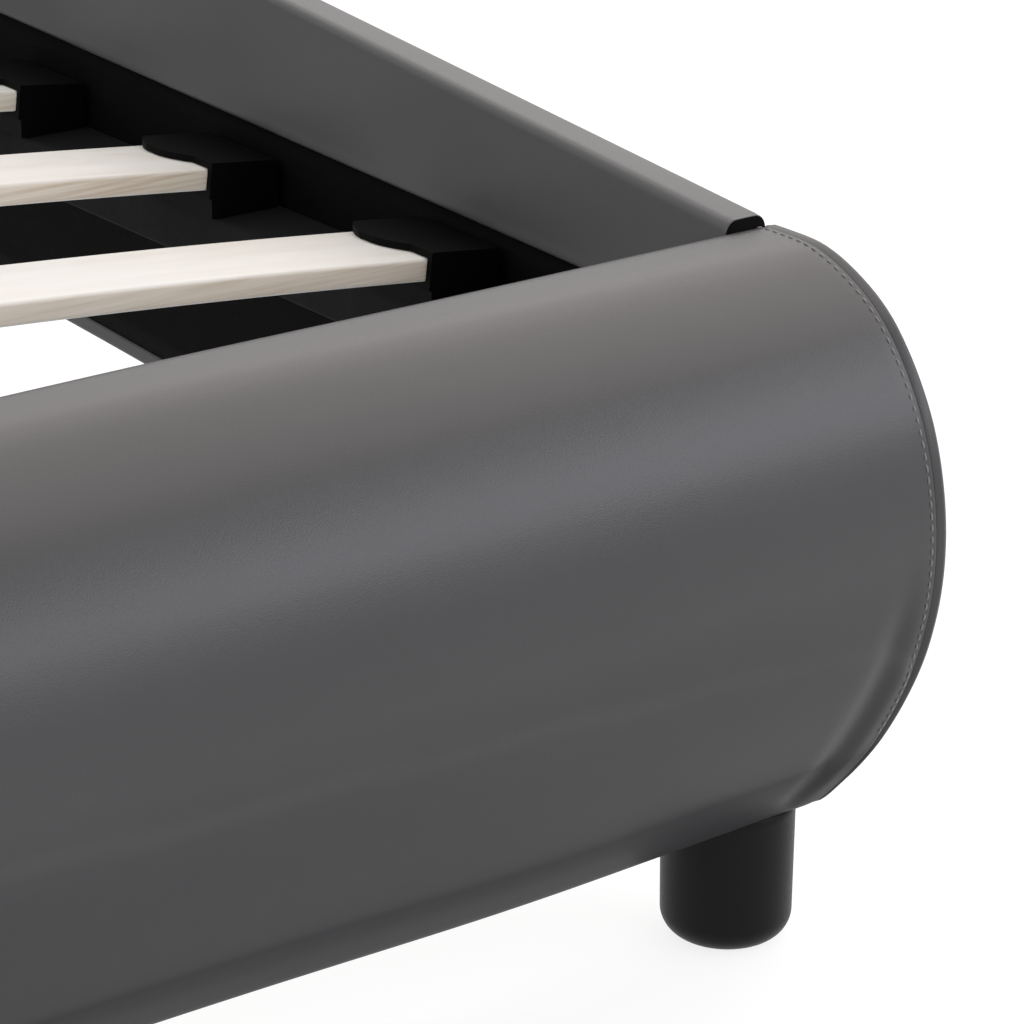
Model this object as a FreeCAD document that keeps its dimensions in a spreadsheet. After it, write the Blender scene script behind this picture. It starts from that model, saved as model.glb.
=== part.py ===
import FreeCAD, Part
import os
from math import asin, cos, degrees, hypot, pi, radians, sin

# Sleigh bed for a 1524 x 2032 mm mattress: a padded D-section footboard roll, a scrolled
# headboard, two swept side rails, ten bowed slats and a centre beam that stops them.
# Frame: +X is the right side seen from the foot, +Y runs to the head, +Z is up.
# The origin is on the floor, in the middle of the bed's footprint. Millimetres.

os.makedirs("parts", exist_ok=True)
doc = FreeCAD.newDocument("SleighBed")

# ---------------------------------------------------------------- driving dimensions
SIZES = {
    # overall
    "overall_width": 1600, "leg_height": 68.5, "well_length": 2045,
    # footboard roll, from its flat top over the front to its flat bottom
    "roll_top_flat": 26, "roll_radius_one": 85, "roll_radius_two": 140, "roll_radius_three": 149,
    "roll_radius_four": 282, "roll_radius_five": 20, "roll_turn_one": 45, "roll_turn_two": 45,
    "roll_turn_three": 25, "roll_turn_four": 22, "roll_turn_five": 43,
    # headboard scroll
    "head_straight": 424, "head_lean_radius": 900, "head_lean_turn": 20,
    "head_scroll_radius": 110, "head_scroll_turn": 120, "head_thickness": 70,
    # upholstery layers
    "leather": 1, "glue_gap": 0.2, "roll_foam": 12, "head_foam": 14, "bent_ply": 4, "end_pad": 8,
    "end_round": 4,
    # side rails
    "rail_inset": 2, "rail_board": 15, "rail_outer_foam": 4.8, "rail_inner_foam": 3.4,
    "rail_top_foam": 4, "rail_above_roll": 6, "rail_slope": 5.1, "rail_straight": 1200,
    "rail_sweep_radius": 9000, "rail_bottom": 102.5, "rail_arch": 51, "rail_round": 11,
    "rail_joint_gap": 1.5, "leather_edge": 300.5, "leather_edge_rise": 0.03, "wrap_strip": 10,
    "lining": 0.6,
    # slat ledges
    "ledge_top": 272.5, "ledge_width": 42, "ledge_height": 30,
    # slats
    "slat_rows": 10, "slat_pitch": 198, "slat_first": 206, "slat_width": 60,
    "slat_thickness": 12, "slat_camber": 46, "slat_end_top": 295, "slat_rail_gap": 8,
    # plastic slat holders
    "holder_depth": 38, "holder_reach": 47.5, "holder_wall": 3.5,
    "holder_play": 0.3, "tongue_radius": 35, "tongue_shift": 9, "holder_lip": 6,
    # centre support
    "beam_top": 294.5, "beam_width": 46, "beam_height": 40, "hanger_width": 120,
    "hanger_shelf": 45, "hanger_lip": 6, "centre_leg": 38, "centre_leg_wall": 2,
    "centre_leg_cap": 3, "centre_leg_socket": 14, "foot_thread": 10, "foot_play": 0.35,
    "foot_pad": 46, "foot_pad_height": 10, "foot_pad_round": 2.5, "foot_nut": 18,
    "foot_nut_height": 12, "foot_stud": 50,
    # corner legs
    "leg_top_radius": 32.5, "leg_bottom_radius": 32, "leg_round": 14, "leg_from_end": 32.5,
    "leg_from_back": 17, "leg_cope": 20,
    # wooden frame
    "panel": 12, "batten": 28, "batten_lap": 8, "former": 15, "former_from_end": 60,
    "upright": 40, "sill_height": 60,
    # hardware
    "bracket_plate": 3, "bracket_reach": 48, "bracket_rise": 100, "bracket_low": 122.5,
    "bracket_end_bolt": 26.4, "bracket_rail_bolt": 28.8, "bolt": 8, "bolt_head": 13,
    "bolt_head_rise": 4, "bolt_play": 0.3, "upright_bite": 20, "insert_bore": 12,
    "leg_bolt_low": 39, "leg_bolt_high": 93.7, "screw": 5, "screw_length": 54,
    "screw_head_height": 4, "screw_from_end": 60,
}
sheet = doc.addObject("Spreadsheet::Sheet", "Dimensions")
for row, (alias, value) in enumerate(SIZES.items(), start=1):
    sheet.set(f"A{row}", alias)
    sheet.set(f"B{row}", str(value))
    sheet.setAlias(f"B{row}", alias)
doc.recompute()


def size(alias):
    """Value of one cell of the dimension sheet."""
    return float(sheet.get(alias))


# ---------------------------------------------------------------- outlines in the YZ plane
def walk(y, z, heading, steps):
    """Chain of tangent lines and arcs from (y, z). A step is a length, or a (radius, turn)
    pair whose turn is in degrees, positive to the left. Returns the edges and the end point."""
    edges = []
    for step in steps:
        along = radians(heading)
        if not isinstance(step, tuple):
            y_next = y + step * cos(along)
            z_next = z + step * sin(along)
            edges.append(Part.LineSegment(vec(y, z), vec(y_next, z_next)).toShape())
        else:
            radius, turn = step
            side = 1 if turn > 0 else -1
            y_mid_centre = y - side * radius * sin(along)
            z_mid_centre = z + side * radius * cos(along)

            def on_arc(part):
                angle = along - side * pi / 2 + radians(turn) * part
                return y_mid_centre + radius * cos(angle), z_mid_centre + radius * sin(angle)

            y_half, z_half = on_arc(0.5)
            y_next, z_next = on_arc(1.0)
            edges.append(Part.Arc(vec(y, z), vec(y_half, z_half), vec(y_next, z_next)).toShape())
            heading += turn
        y, z = y_next, z_next
    return edges, y, z


def vec(y, z, x=0.0):
    return FreeCAD.Vector(x, y, z)


def closed_face(edges, y, z):
    """Face inside a chain of edges that ends at (y, z), closed by a straight edge."""
    start = edges[0].valueAt(edges[0].FirstParameter)
    if hypot(start.y - y, start.z - z) > 1e-6:
        edges = edges + [Part.LineSegment(vec(y, z), start).toShape()]
    return Part.Face(Part.Wire(edges))


def prism(face, x_low, x_high):
    """A YZ face pushed out along X, from x_low to x_high."""
    moved = face.translated(FreeCAD.Vector(x_low, 0, 0))
    return moved.extrude(FreeCAD.Vector(x_high - x_low, 0, 0))


def block(x_low, x_high, y_low, y_high, z_low, z_high):
    """Plain block between six planes."""
    corner = FreeCAD.Vector(x_low, y_low, z_low)
    return Part.makeBox(x_high - x_low, y_high - y_low, z_high - z_low, corner)


# ---------------------------------------------------------------- where the main planes lie
half_width = size("overall_width") / 2
floor_of_frame = size("leg_height")
layer = size("leather") + size("glue_gap")

ROLL_ARCS = [(size(f"roll_radius_{n}"), size(f"roll_turn_{n}"))
             for n in ("one", "two", "three", "four", "five")]


def roll_steps(inset, back):
    """Over the front of the roll, from a back plane moved in by back."""
    return [size("roll_top_flat") - back] + [(radius - inset, turn) for radius, turn in ROLL_ARCS]


_, roll_toe_y, roll_drop_z = walk(0, 0, 180, roll_steps(0, 0))
roll_height = -roll_drop_z
roll_depth = -Part.Wire(walk(0, 0, 180, roll_steps(0, 0))[0]).BoundBox.YMin
roll_top = floor_of_frame + roll_height


def head_steps(inset):
    """Up the front, over the scroll, round its nose and down the back."""
    thick = size("head_thickness")
    lean, lean_turn = size("head_lean_radius"), size("head_lean_turn")
    curl, curl_turn = size("head_scroll_radius"), size("head_scroll_turn")
    straight = size("head_straight") - inset
    return [straight, (lean - inset, -lean_turn), (curl - inset, -curl_turn),
            (thick / 2 - inset, -180), (curl - thick + inset, curl_turn),
            (lean - thick + inset, lean_turn), straight]


head_reach = Part.Wire(walk(0, 0, 90, head_steps(0))[0]).BoundBox.YMax
overall_length = roll_depth + size("well_length") + head_reach
roll_back = -overall_length / 2 + roll_depth
head_front = roll_back + size("well_length")


def roll_face(inset, back=None):
    """Section of the footboard roll, shrunk by inset, and at its flat back by back."""
    back = inset if back is None else back
    edges, y, z = walk(roll_back - back, roll_top - inset, 180, roll_steps(inset, back))
    more, y, z = walk(y, z, 0, [roll_back - back - y])
    return closed_face(edges + more, y, z)


def head_face(inset):
    """Section of the headboard, shrunk by inset on every side."""
    edges, y, z = walk(head_front + inset, floor_of_frame + inset, 90, head_steps(inset))
    return closed_face(edges, y, z)


# ---------------------------------------------------------------- document helpers
nodes = []


def keep(thing, label):
    """Gives a document object the name of its node."""
    thing.Label = label
    nodes.append(thing)
    return thing


def shaped(label, shape):
    """Sub-part whose shape comes from arcs and layers that no primitive has."""
    thing = doc.addObject("Part::Feature", label)
    thing.Shape = shape
    return keep(thing, label)


def board(label, length, width, height, x, y, z):
    """Box bound to the sheet, its lowest corner at (x, y, z)."""
    thing = doc.addObject("Part::Box", label)
    thing.setExpression("Length", length)
    thing.setExpression("Width", width)
    thing.setExpression("Height", height)
    thing.Placement.Base = FreeCAD.Vector(x, y, z)
    return thing


def rod(x, y, z, radius, length, axis):
    """Cylinder from (x, y, z) along an axis vector."""
    return Part.makeCylinder(radius, length, FreeCAD.Vector(x, y, z), FreeCAD.Vector(*axis))


def mirrored(shape, side):
    """The right-hand shape for side 1, its mirror image for side -1."""
    if side > 0:
        return shape
    return shape.mirror(FreeCAD.Vector(0, 0, 0), FreeCAD.Vector(1, 0, 0))


SIDES = {"left": -1, "right": 1}

# ---------------------------------------------------------------- bolts at the four corners
gap = size("glue_gap")
rail_board_outer = half_width - size("rail_inset") - layer - size("rail_outer_foam") - gap
rail_board_inner = rail_board_outer - size("rail_board")
rail_inner = rail_board_inner - gap - size("rail_inner_foam") - layer
lining_inner = rail_board_inner - gap - size("lining")
bolt_radius = size("bolt") / 2
hole_radius = bolt_radius + size("bolt_play")
insert_radius = size("insert_bore") / 2
bolt_heights = [size("bracket_low") + size("bracket_rise") * part for part in (0.2, 0.8)]
bracket_edge = lining_inner - gap
end_bolt_x = bracket_edge - size("bracket_end_bolt")
plate = size("bracket_plate")
END_BOLT = {"foot": plate + layer + size("panel"),
            "head": plate + layer + size("head_foam") + size("bent_ply") + size("upright_bite")}
INSERT_LENGTH = size("panel") - 1


def corner(end):
    """Plane of the end board and the direction from it into the bed."""
    return (roll_back, 1) if end == "foot" else (head_front, -1)


def corner_bolts(end, grow=0.0):
    """Shanks of the bolts at the right-hand corner, thicker by grow for their holes."""
    plane, inward = corner(end)
    shanks = []
    for height in bolt_heights:
        start = plane + inward * plate
        shanks.append(rod(end_bolt_x, start, height, bolt_radius + grow, END_BOLT[end],
                          (0, -inward, 0)))
        side_y = plane + inward * size("bracket_rail_bolt")
        length = plate + size("lining") + 2 * gap + size("rail_board")
        shanks.append(rod(bracket_edge - plate, side_y, height, bolt_radius + grow, length,
                          (1, 0, 0)))
    return shanks


def corner_inserts(end, solid=False):
    """Threaded inserts that the corner bolts screw into, or their plain bores."""
    plane, inward = corner(end)
    depth = END_BOLT[end] - plate
    inserts = []
    for height in bolt_heights:
        y = plane - inward * depth
        inserts.append(rod(end_bolt_x, y, height, insert_radius, INSERT_LENGTH, (0, inward, 0)))
        side_y = plane + inward * size("bracket_rail_bolt")
        inserts.append(rod(rail_board_outer, side_y, height, insert_radius, INSERT_LENGTH,
                           (-1, 0, 0)))
    if solid:
        return inserts
    return [insert.cut(corner_bolts(end, size("bolt_play") / 2)) for insert in inserts]


def both_sides(shapes):
    return [mirrored(shape, side) for side in SIDES.values() for shape in shapes]


leg_x = half_width - size("leg_from_end")
LEG_Y = {"foot": roll_back - size("leg_from_back"), "head": head_front + size("head_thickness") / 2}


def leg_bolt(x, y, grow=0.0):
    """Upright bolt between a leg and the board above it."""
    low = size("leg_bolt_low")
    return rod(x, y, low, bolt_radius + grow, size("leg_bolt_high") - low, (0, 0, 1))


DRILL = {}
for end in ("foot", "head"):
    holes = both_sides(corner_bolts(end, size("bolt_play")))
    holes += [leg_bolt(side * leg_x, LEG_Y[end], size("bolt_play")) for side in SIDES.values()]
    DRILL[end] = holes

# ---------------------------------------------------------------- footboard roll
roll_half = half_width - size("end_pad") - gap
panel_y = roll_back - layer - size("panel")
inner_roll = layer + size("roll_foam") + gap
skin_inner = inner_roll + size("bent_ply")
panel_low = floor_of_frame + layer + size("batten") + gap
panel_high = roll_top - layer - size("batten") - gap
batten_front = roll_back - size("roll_top_flat") - size("batten_lap")
toe_batten_front = roll_back + roll_toe_y


def roll_hollow(x_low, x_high):
    """Room kept free in the roll for its back panel and its two battens."""
    return [block(x_low, x_high, panel_y - gap, roll_back, panel_low, panel_high),
            block(x_low, x_high, batten_front - gap, roll_back, panel_high - 0.001, roll_top),
            block(x_low, x_high, toe_batten_front - gap, roll_back, floor_of_frame,
                  panel_low + 0.001)]


roll_cover = prism(roll_face(0), -roll_half, roll_half)
roll_cover = roll_cover.cut(prism(roll_face(size("leather")), -roll_half, roll_half))
shaped("footboard_cover", roll_cover.cut(DRILL["foot"]))

roll_room = roll_hollow(-half_width, half_width)
foam = prism(roll_face(layer), -roll_half, roll_half)
foam = foam.cut(prism(roll_face(inner_roll - gap, 0), -half_width, half_width))
shaped("footboard_foam", foam.cut(roll_room))

panel_front = layer + size("panel") + gap
skin = prism(roll_face(inner_roll, panel_front), -roll_half, roll_half)
skin = skin.cut(prism(roll_face(skin_inner - gap, 0), -half_width, half_width))
shaped("footboard_bent_ply", skin.cut(roll_room))

panel = board("footboard_back_panel", f"2 * {roll_half}", "Dimensions.panel",
              f"{panel_high - panel_low - 2 * gap}", -roll_half, panel_y, panel_low + gap)
doc.recompute()
panel_holes = both_sides(corner_bolts("foot", size("bolt_play")) + corner_inserts("foot", True))
panel_tool = doc.addObject("Part::Feature", "footboard_panel_bores")
panel_tool.Shape = Part.makeCompound(panel_holes)
panel_cut = doc.addObject("Part::Cut", "footboard_back_panel_drilled")
panel_cut.Base = panel
panel_cut.Tool = panel_tool
panel.Label = "footboard_back_panel_blank"
keep(panel_cut, "footboard_back_panel")

top_room = prism(roll_face(layer), -roll_half, roll_half)
shaped("footboard_top_batten", top_room.common(block(
    -roll_half, roll_half, batten_front, roll_back, panel_high + gap, roll_top)))
toe = top_room.common(block(-roll_half, roll_half, toe_batten_front, roll_back, 0,
                            panel_low - gap))
shaped("footboard_toe_batten", toe.cut(DRILL["foot"]))

FORMERS = 4
former_x = roll_half - size("former") - size("former_from_end")
for number in range(FORMERS):
    x = -former_x + 2 * former_x * number / (FORMERS - 1)
    section = roll_face(skin_inner, panel_front)
    former = prism(section, x - size("former") / 2, x + size("former") / 2)
    shaped(f"footboard_former_{number + 1}", former.cut(roll_room))

for name, side in SIDES.items():
    pad = prism(roll_face(0), half_width - size("end_pad"), half_width)
    rim = [edge for edge in pad.Edges if abs(edge.BoundBox.XMin - half_width) < 1e-6
           and abs(edge.BoundBox.XMax - half_width) < 1e-6]
    rounded = pad.makeFillet(size("end_round"), rim)
    shaped(f"footboard_end_{name}", mirrored(rounded, side))

# ---------------------------------------------------------------- headboard
head_bore = both_sides(corner_inserts("head", True))
head_inner = layer + size("head_foam") + gap
head_core = head_inner + size("bent_ply")
sill_low = floor_of_frame + layer
sill_high = sill_low + size("sill_height")
sill_room = block(-half_width, half_width, head_front + head_inner - gap,
                  head_front + size("head_thickness") - head_inner + gap, floor_of_frame,
                  sill_high + gap)

head_cover = prism(head_face(0), -roll_half, roll_half)
head_cover = head_cover.cut(prism(head_face(size("leather")), -roll_half, roll_half))
shaped("headboard_cover", head_cover.cut(DRILL["head"]))

foam = prism(head_face(layer), -roll_half, roll_half)
foam = foam.cut(prism(head_face(head_inner - gap), -half_width, half_width)).cut(sill_room)
shaped("headboard_foam", foam.cut(DRILL["head"]))

skin = prism(head_face(head_inner), -roll_half, roll_half)
skin = skin.cut(prism(head_face(head_core - gap), -half_width, half_width)).cut(sill_room)
shaped("headboard_bent_ply", skin.cut(DRILL["head"]))

sill = board("headboard_sill", f"2 * {roll_half}",
             f"Dimensions.head_thickness - 2 * {head_inner}", "Dimensions.sill_height",
             -roll_half, head_front + head_inner, sill_low)
doc.recompute()
sill_tool = doc.addObject("Part::Feature", "headboard_sill_bores")
sill_tool.Shape = Part.makeCompound([leg_bolt(side * leg_x, LEG_Y["head"], size("bolt_play"))
                                     for side in SIDES.values()])
sill_cut = doc.addObject("Part::Cut", "headboard_sill_drilled")
sill_cut.Base = sill
sill_cut.Tool = sill_tool
sill.Label = "headboard_sill_blank"
keep(sill_cut, "headboard_sill")

UPRIGHTS = {"left": -1, "middle": 0, "right": 1}
for name, place in UPRIGHTS.items():
    x = place * end_bolt_x
    upright = prism(head_face(head_core), x - size("upright") / 2, x + size("upright") / 2)
    upright = upright.cut([sill_room] + head_bore + DRILL["head"])
    shaped(f"headboard_upright_{name}", upright)

for name, side in SIDES.items():
    pad = prism(head_face(0), half_width - size("end_pad"), half_width)
    rim = [edge for edge in pad.Edges if abs(edge.BoundBox.XMin - half_width) < 1e-6
           and abs(edge.BoundBox.XMax - half_width) < 1e-6]
    rounded = pad.makeFillet(size("end_round"), rim)
    shaped(f"headboard_end_{name}", mirrored(rounded, side))

# ---------------------------------------------------------------- side rails
rail_start = roll_back + size("rail_joint_gap")
rail_stop = head_front - size("rail_joint_gap")
rail_slope = size("rail_slope")
rail_sweep = size("rail_sweep_radius")


def rail_face(below_top, above_bottom):
    """Side view of a rail, its top and bottom edges moved in by the two given amounts."""
    slope = radians(rail_slope)
    z_start = roll_top + size("rail_above_roll") - below_top / cos(slope)
    straight = size("rail_straight") + below_top * sin(slope) / cos(slope)
    y_bend = rail_start + straight * cos(slope)
    radius = rail_sweep + below_top
    turn = degrees(asin(sin(slope) + (rail_stop - y_bend) / radius)) - rail_slope
    edges, y, z = walk(rail_start, z_start, rail_slope, [straight, (radius, turn)])
    low = size("rail_bottom") + above_bottom
    middle = vec((rail_start + rail_stop) / 2, low + size("rail_arch"))
    edges.append(Part.LineSegment(vec(y, z), vec(rail_stop, low)).toShape())
    edges.append(Part.Arc(vec(rail_stop, low), middle, vec(rail_start, low)).toShape())
    return closed_face(edges, rail_start, low)


def round_top(shape, radius):
    """Rounds the two long top edges of a rail layer."""
    long_edges = [edge for edge in shape.Edges
                  if edge.BoundBox.YLength > 100 and edge.BoundBox.ZMin > roll_top - 40]
    return shape.makeFillet(radius, long_edges)


rail_outer = half_width - size("rail_inset")
leather = size("leather")
rail_round = size("rail_round")
edge_height = size("leather_edge")

outside = round_top(prism(rail_face(0, 0), rail_inner, rail_outer), rail_round)
inside = round_top(prism(rail_face(leather, leather), rail_inner + leather,
                         rail_outer - leather), rail_round - leather)


def under_leather(x_low, x_high, drop=0.0):
    """Everything under the leather's lower edge, which climbs gently towards the head."""
    low_z = edge_height - drop
    high_z = low_z + size("leather_edge_rise") * size("well_length")
    corners = [(roll_back, 0), (head_front, 0), (head_front, high_z), (roll_back, low_z)]
    outline = Part.makePolygon([vec(y, z) for y, z in corners + corners[:1]])
    return prism(Part.Face(outline), x_low, x_high)


below_edge = under_leather(rail_inner - 1, lining_inner)
strip_face = rail_face(0, leather).cut(rail_face(0, size("wrap_strip")))
strip = prism(strip_face, lining_inner, rail_board_inner - gap)
cover_shape = outside.cut([inside, below_edge]).fuse(strip).removeSplitter()

foam_shape = round_top(prism(rail_face(layer, layer), rail_inner + layer, rail_outer - layer),
                       rail_round - layer)
top_drop = layer + size("rail_top_foam") + gap
board_shape = prism(rail_face(top_drop, layer), rail_board_inner, rail_board_outer)
board_room = prism(rail_face(top_drop - gap, 0), rail_board_inner - gap, rail_board_outer + gap)
foam_shape = foam_shape.cut([board_room, under_leather(rail_inner - 1, rail_board_inner)])
lining_face = rail_face(0, size("wrap_strip") + 1)
lining_shape = prism(lining_face, lining_inner, rail_board_inner - gap)
lining_shape = lining_shape.common(under_leather(0, half_width, 1))
for end in ("foot", "head"):
    holes = corner_bolts(end, size("bolt_play"))
    board_shape = board_shape.cut(holes + corner_inserts(end, True))
    lining_shape = lining_shape.cut(holes)

ledge_outer = lining_inner - gap
LEDGE_SCREWS = 9
screw_z = size("ledge_top") - size("ledge_height") / 2
first_screw = rail_start + size("screw_from_end")
last_screw = rail_stop - size("screw_from_end")
screw_y = [first_screw + n * (last_screw - first_screw) / (LEDGE_SCREWS - 1)
           for n in range(LEDGE_SCREWS)]
ledge_inner = ledge_outer - size("ledge_width")


def ledge_screw(y, grow=0.0):
    """Countersunk wood screw through a ledge into the rail board."""
    radius, head = size("screw") / 2 + grow, size("screw") + grow
    shank = rod(ledge_inner, y, screw_z, radius, size("screw_length"), (1, 0, 0))
    cone = Part.makeCone(head, radius, size("screw_head_height"),
                         FreeCAD.Vector(ledge_inner, y, screw_z), FreeCAD.Vector(1, 0, 0))
    return shank.fuse(cone).removeSplitter()


ledge_holes = [ledge_screw(y, size("bolt_play") / 2) for y in screw_y]
board_shape = board_shape.cut(ledge_holes)
lining_shape = lining_shape.cut(ledge_holes)
for name, side in SIDES.items():
    shaped(f"rail_cover_{name}", mirrored(cover_shape, side))
    shaped(f"rail_foam_{name}", mirrored(foam_shape, side))
    shaped(f"rail_board_{name}", mirrored(board_shape, side))
    shaped(f"rail_lining_{name}", mirrored(lining_shape, side))
    ledge_x = ledge_outer - size("ledge_width") if side > 0 else -ledge_outer
    ledge = board(f"slat_ledge_{name}", "Dimensions.ledge_width",
                  "Dimensions.well_length - 2 * Dimensions.rail_joint_gap",
                  "Dimensions.ledge_height", ledge_x, rail_start,
                  size("ledge_top") - size("ledge_height"))
    holes = doc.addObject("Part::Feature", f"slat_ledge_{name}_bores")
    holes.Shape = Part.makeCompound([mirrored(hole, side) for hole in ledge_holes])
    drilled = doc.addObject("Part::Cut", f"slat_ledge_{name}_drilled")
    drilled.Base = ledge
    drilled.Tool = holes
    ledge.Label = f"slat_ledge_{name}_blank"
    keep(drilled, f"slat_ledge_{name}")

# ---------------------------------------------------------------- slats
slat_outer = ledge_outer - size("slat_rail_gap")
slat_radius = (2 * slat_outer) ** 2 / (8 * size("slat_camber")) + size("slat_camber") / 2
slat_tilt = degrees(asin(slat_outer / slat_radius))
slat_centre = size("slat_end_top") - slat_radius * cos(radians(slat_tilt))


def slat_body(label, y_centre):
    """One bowed slat: a band between two concentric arcs, padded to the slat's width."""
    body = doc.addObject("PartDesign::Body", label)
    plane = [f for f in body.Origin.OriginFeatures if f.Role == "XZ_Plane"][0]
    sketch = body.newObject("Sketcher::SketchObject", label + "_band")
    sketch.AttachmentSupport = (plane, [""])
    sketch.MapMode = "FlatFace"
    normal = FreeCAD.Vector(0, 0, 1)
    centre = FreeCAD.Vector(0, slat_centre, 0)
    start, stop = radians(90 - slat_tilt), radians(90 + slat_tilt)
    ends = []
    for radius in (slat_radius, slat_radius - size("slat_thickness")):
        circle = Part.Circle(centre, normal, radius)
        sketch.addGeometry(Part.ArcOfCircle(circle, start, stop), False)
        ends.append([centre + FreeCAD.Vector(radius * cos(a), radius * sin(a), 0)
                     for a in (start, stop)])
    for outer_end, inner_end in zip(*ends):
        sketch.addGeometry(Part.LineSegment(outer_end, inner_end), False)
    pad = body.newObject("PartDesign::Pad", label + "_pad")
    pad.Profile = sketch
    pad.Midplane = True
    pad.setExpression("Length", "Dimensions.slat_width")
    sketch.Visibility = False
    body.Placement.Base = FreeCAD.Vector(0, y_centre, 0)
    return keep(body, label)


slat_y = [roll_back + size("slat_first") + size("slat_pitch") * n
          for n in range(int(size("slat_rows")))]
for number, y in enumerate(slat_y, start=1):
    slat_body(f"slat_{number:02d}", y)
doc.recompute()

# ---------------------------------------------------------------- slat holders
play = size("holder_play")
wall = size("holder_wall")


def slat_end_block(x_end, direction, y, grow_y, low, high, length, overrun=0.0):
    """Tilted block that follows a slat's end. direction is +1 where the bed's middle lies
    towards +X. low and high are offsets below and above the slat's own faces."""
    thick = size("slat_thickness")
    shape = Part.makeBox(length + overrun, size("slat_width") + 2 * grow_y, thick + low + high,
                         FreeCAD.Vector(-overrun, -size("slat_width") / 2 - grow_y,
                                        -thick - low))
    shape.rotate(FreeCAD.Vector(0, 0, 0), FreeCAD.Vector(0, 1, 0), -slat_tilt)
    if direction < 0:
        shape = shape.mirror(FreeCAD.Vector(0, 0, 0), FreeCAD.Vector(1, 0, 0))
    return shape.translated(FreeCAD.Vector(x_end, y, size("slat_end_top")))


def holder(x_end, direction, y, base_z):
    """Plastic socket for one slat end: a foot, and a sleeve whose roof ends in a round tongue
    that lies a little towards the head."""
    depth, reach = size("holder_depth"), size("holder_reach")
    socket = slat_end_block(x_end, direction, y, wall + play, wall + play, wall + play, depth, wall)
    over_slat = play - size("slat_thickness")
    tongue = slat_end_block(x_end, direction, y, wall + play, over_slat, wall + play, reach)
    radius = size("tongue_radius")
    disc = rod(x_end + direction * (reach - radius), y + size("tongue_shift"), base_z, radius,
               2 * size("slat_width"), (0, 0, 1))
    half = size("slat_width") / 2 + play
    foot_low = min(x_end - direction * wall, x_end + direction * depth)
    foot = block(foot_low, foot_low + depth + wall, y - half - wall, y + half + wall, base_z,
                 size("slat_end_top") - size("slat_thickness") + size("holder_lip"))
    pocket = slat_end_block(x_end, direction, y, play, play, play, 2 * depth, play)
    under = block(-half_width, half_width, y - 2 * half, y + 2 * half, 0, base_z)
    whole = socket.fuse([tongue.common(disc), foot]).removeSplitter()
    return whole.cut([pocket, under])


holder_base = size("ledge_top") + gap
for name, side in SIDES.items():
    shaped(f"slat_holders_{name}", Part.makeCompound(
        [holder(side * slat_outer, -side, y, holder_base) for y in slat_y]))

# ---------------------------------------------------------------- centre beam and its legs
beam_top = size("beam_top")
beam_low = beam_top - size("beam_height")
beam_half = size("beam_width") / 2
beam = board("centre_beam", "Dimensions.beam_width",
             f"Dimensions.well_length - 2 * {plate + gap}", "Dimensions.beam_height",
             -beam_half, roll_back + plate + gap, beam_low)
keep(beam, "centre_beam")

hangers = []
for plane, inward in (corner("foot"), corner("head")):
    low_y, high_y = sorted((plane, plane + inward * plate))
    half = size("hanger_width") / 2
    back = block(-half, half, low_y, high_y, beam_low - plate - gap, beam_top)
    shelf_low, shelf_high = sorted((plane, plane + inward * size("hanger_shelf")))
    half = beam_half + size("hanger_lip")
    shelf = block(-half, half, shelf_low, shelf_high, beam_low - plate - gap, beam_low - gap)
    hangers.append(back.fuse(shelf).removeSplitter())
shaped("centre_beam_hangers", Part.makeCompound(hangers))

centre_leg_top = beam_low - gap
centre_leg_low = size("foot_pad_height") + size("foot_nut_height")
centre_leg_height = centre_leg_top - centre_leg_low
socket_depth = size("centre_leg_socket")
CENTRE_LEGS = 2
for number in range(1, CENTRE_LEGS + 1):
    y = roll_back + size("well_length") * number / (CENTRE_LEGS + 1)
    leg_radius, thread_radius = size("centre_leg") / 2, size("foot_thread") / 2
    post = rod(0, y, centre_leg_low, leg_radius, centre_leg_height, (0, 0, 1))
    bore = rod(0, y, centre_leg_low + socket_depth, leg_radius - size("centre_leg_wall"),
               centre_leg_height - socket_depth - size("centre_leg_cap"), (0, 0, 1))
    thread = rod(0, y, centre_leg_low, thread_radius + size("foot_play"), socket_depth, (0, 0, 1))
    shaped(f"centre_leg_{number}", post.cut([bore, thread]))
    foot_pad = rod(0, y, 0, size("foot_pad") / 2, size("foot_pad_height"), (0, 0, 1))
    rim = [edge for edge in foot_pad.Edges if len(edge.Vertexes) == 1]
    foot_pad = foot_pad.makeFillet(size("foot_pad_round"), rim)
    nut_height = size("foot_nut_height") - gap - play
    nut = rod(0, y, size("foot_pad_height"), size("foot_nut") / 2, nut_height, (0, 0, 1))
    stud = rod(0, y, size("foot_pad_height"), thread_radius, size("foot_stud"), (0, 0, 1))
    shaped(f"levelling_foot_{number}", foot_pad.fuse([nut, stud]).removeSplitter())

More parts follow.
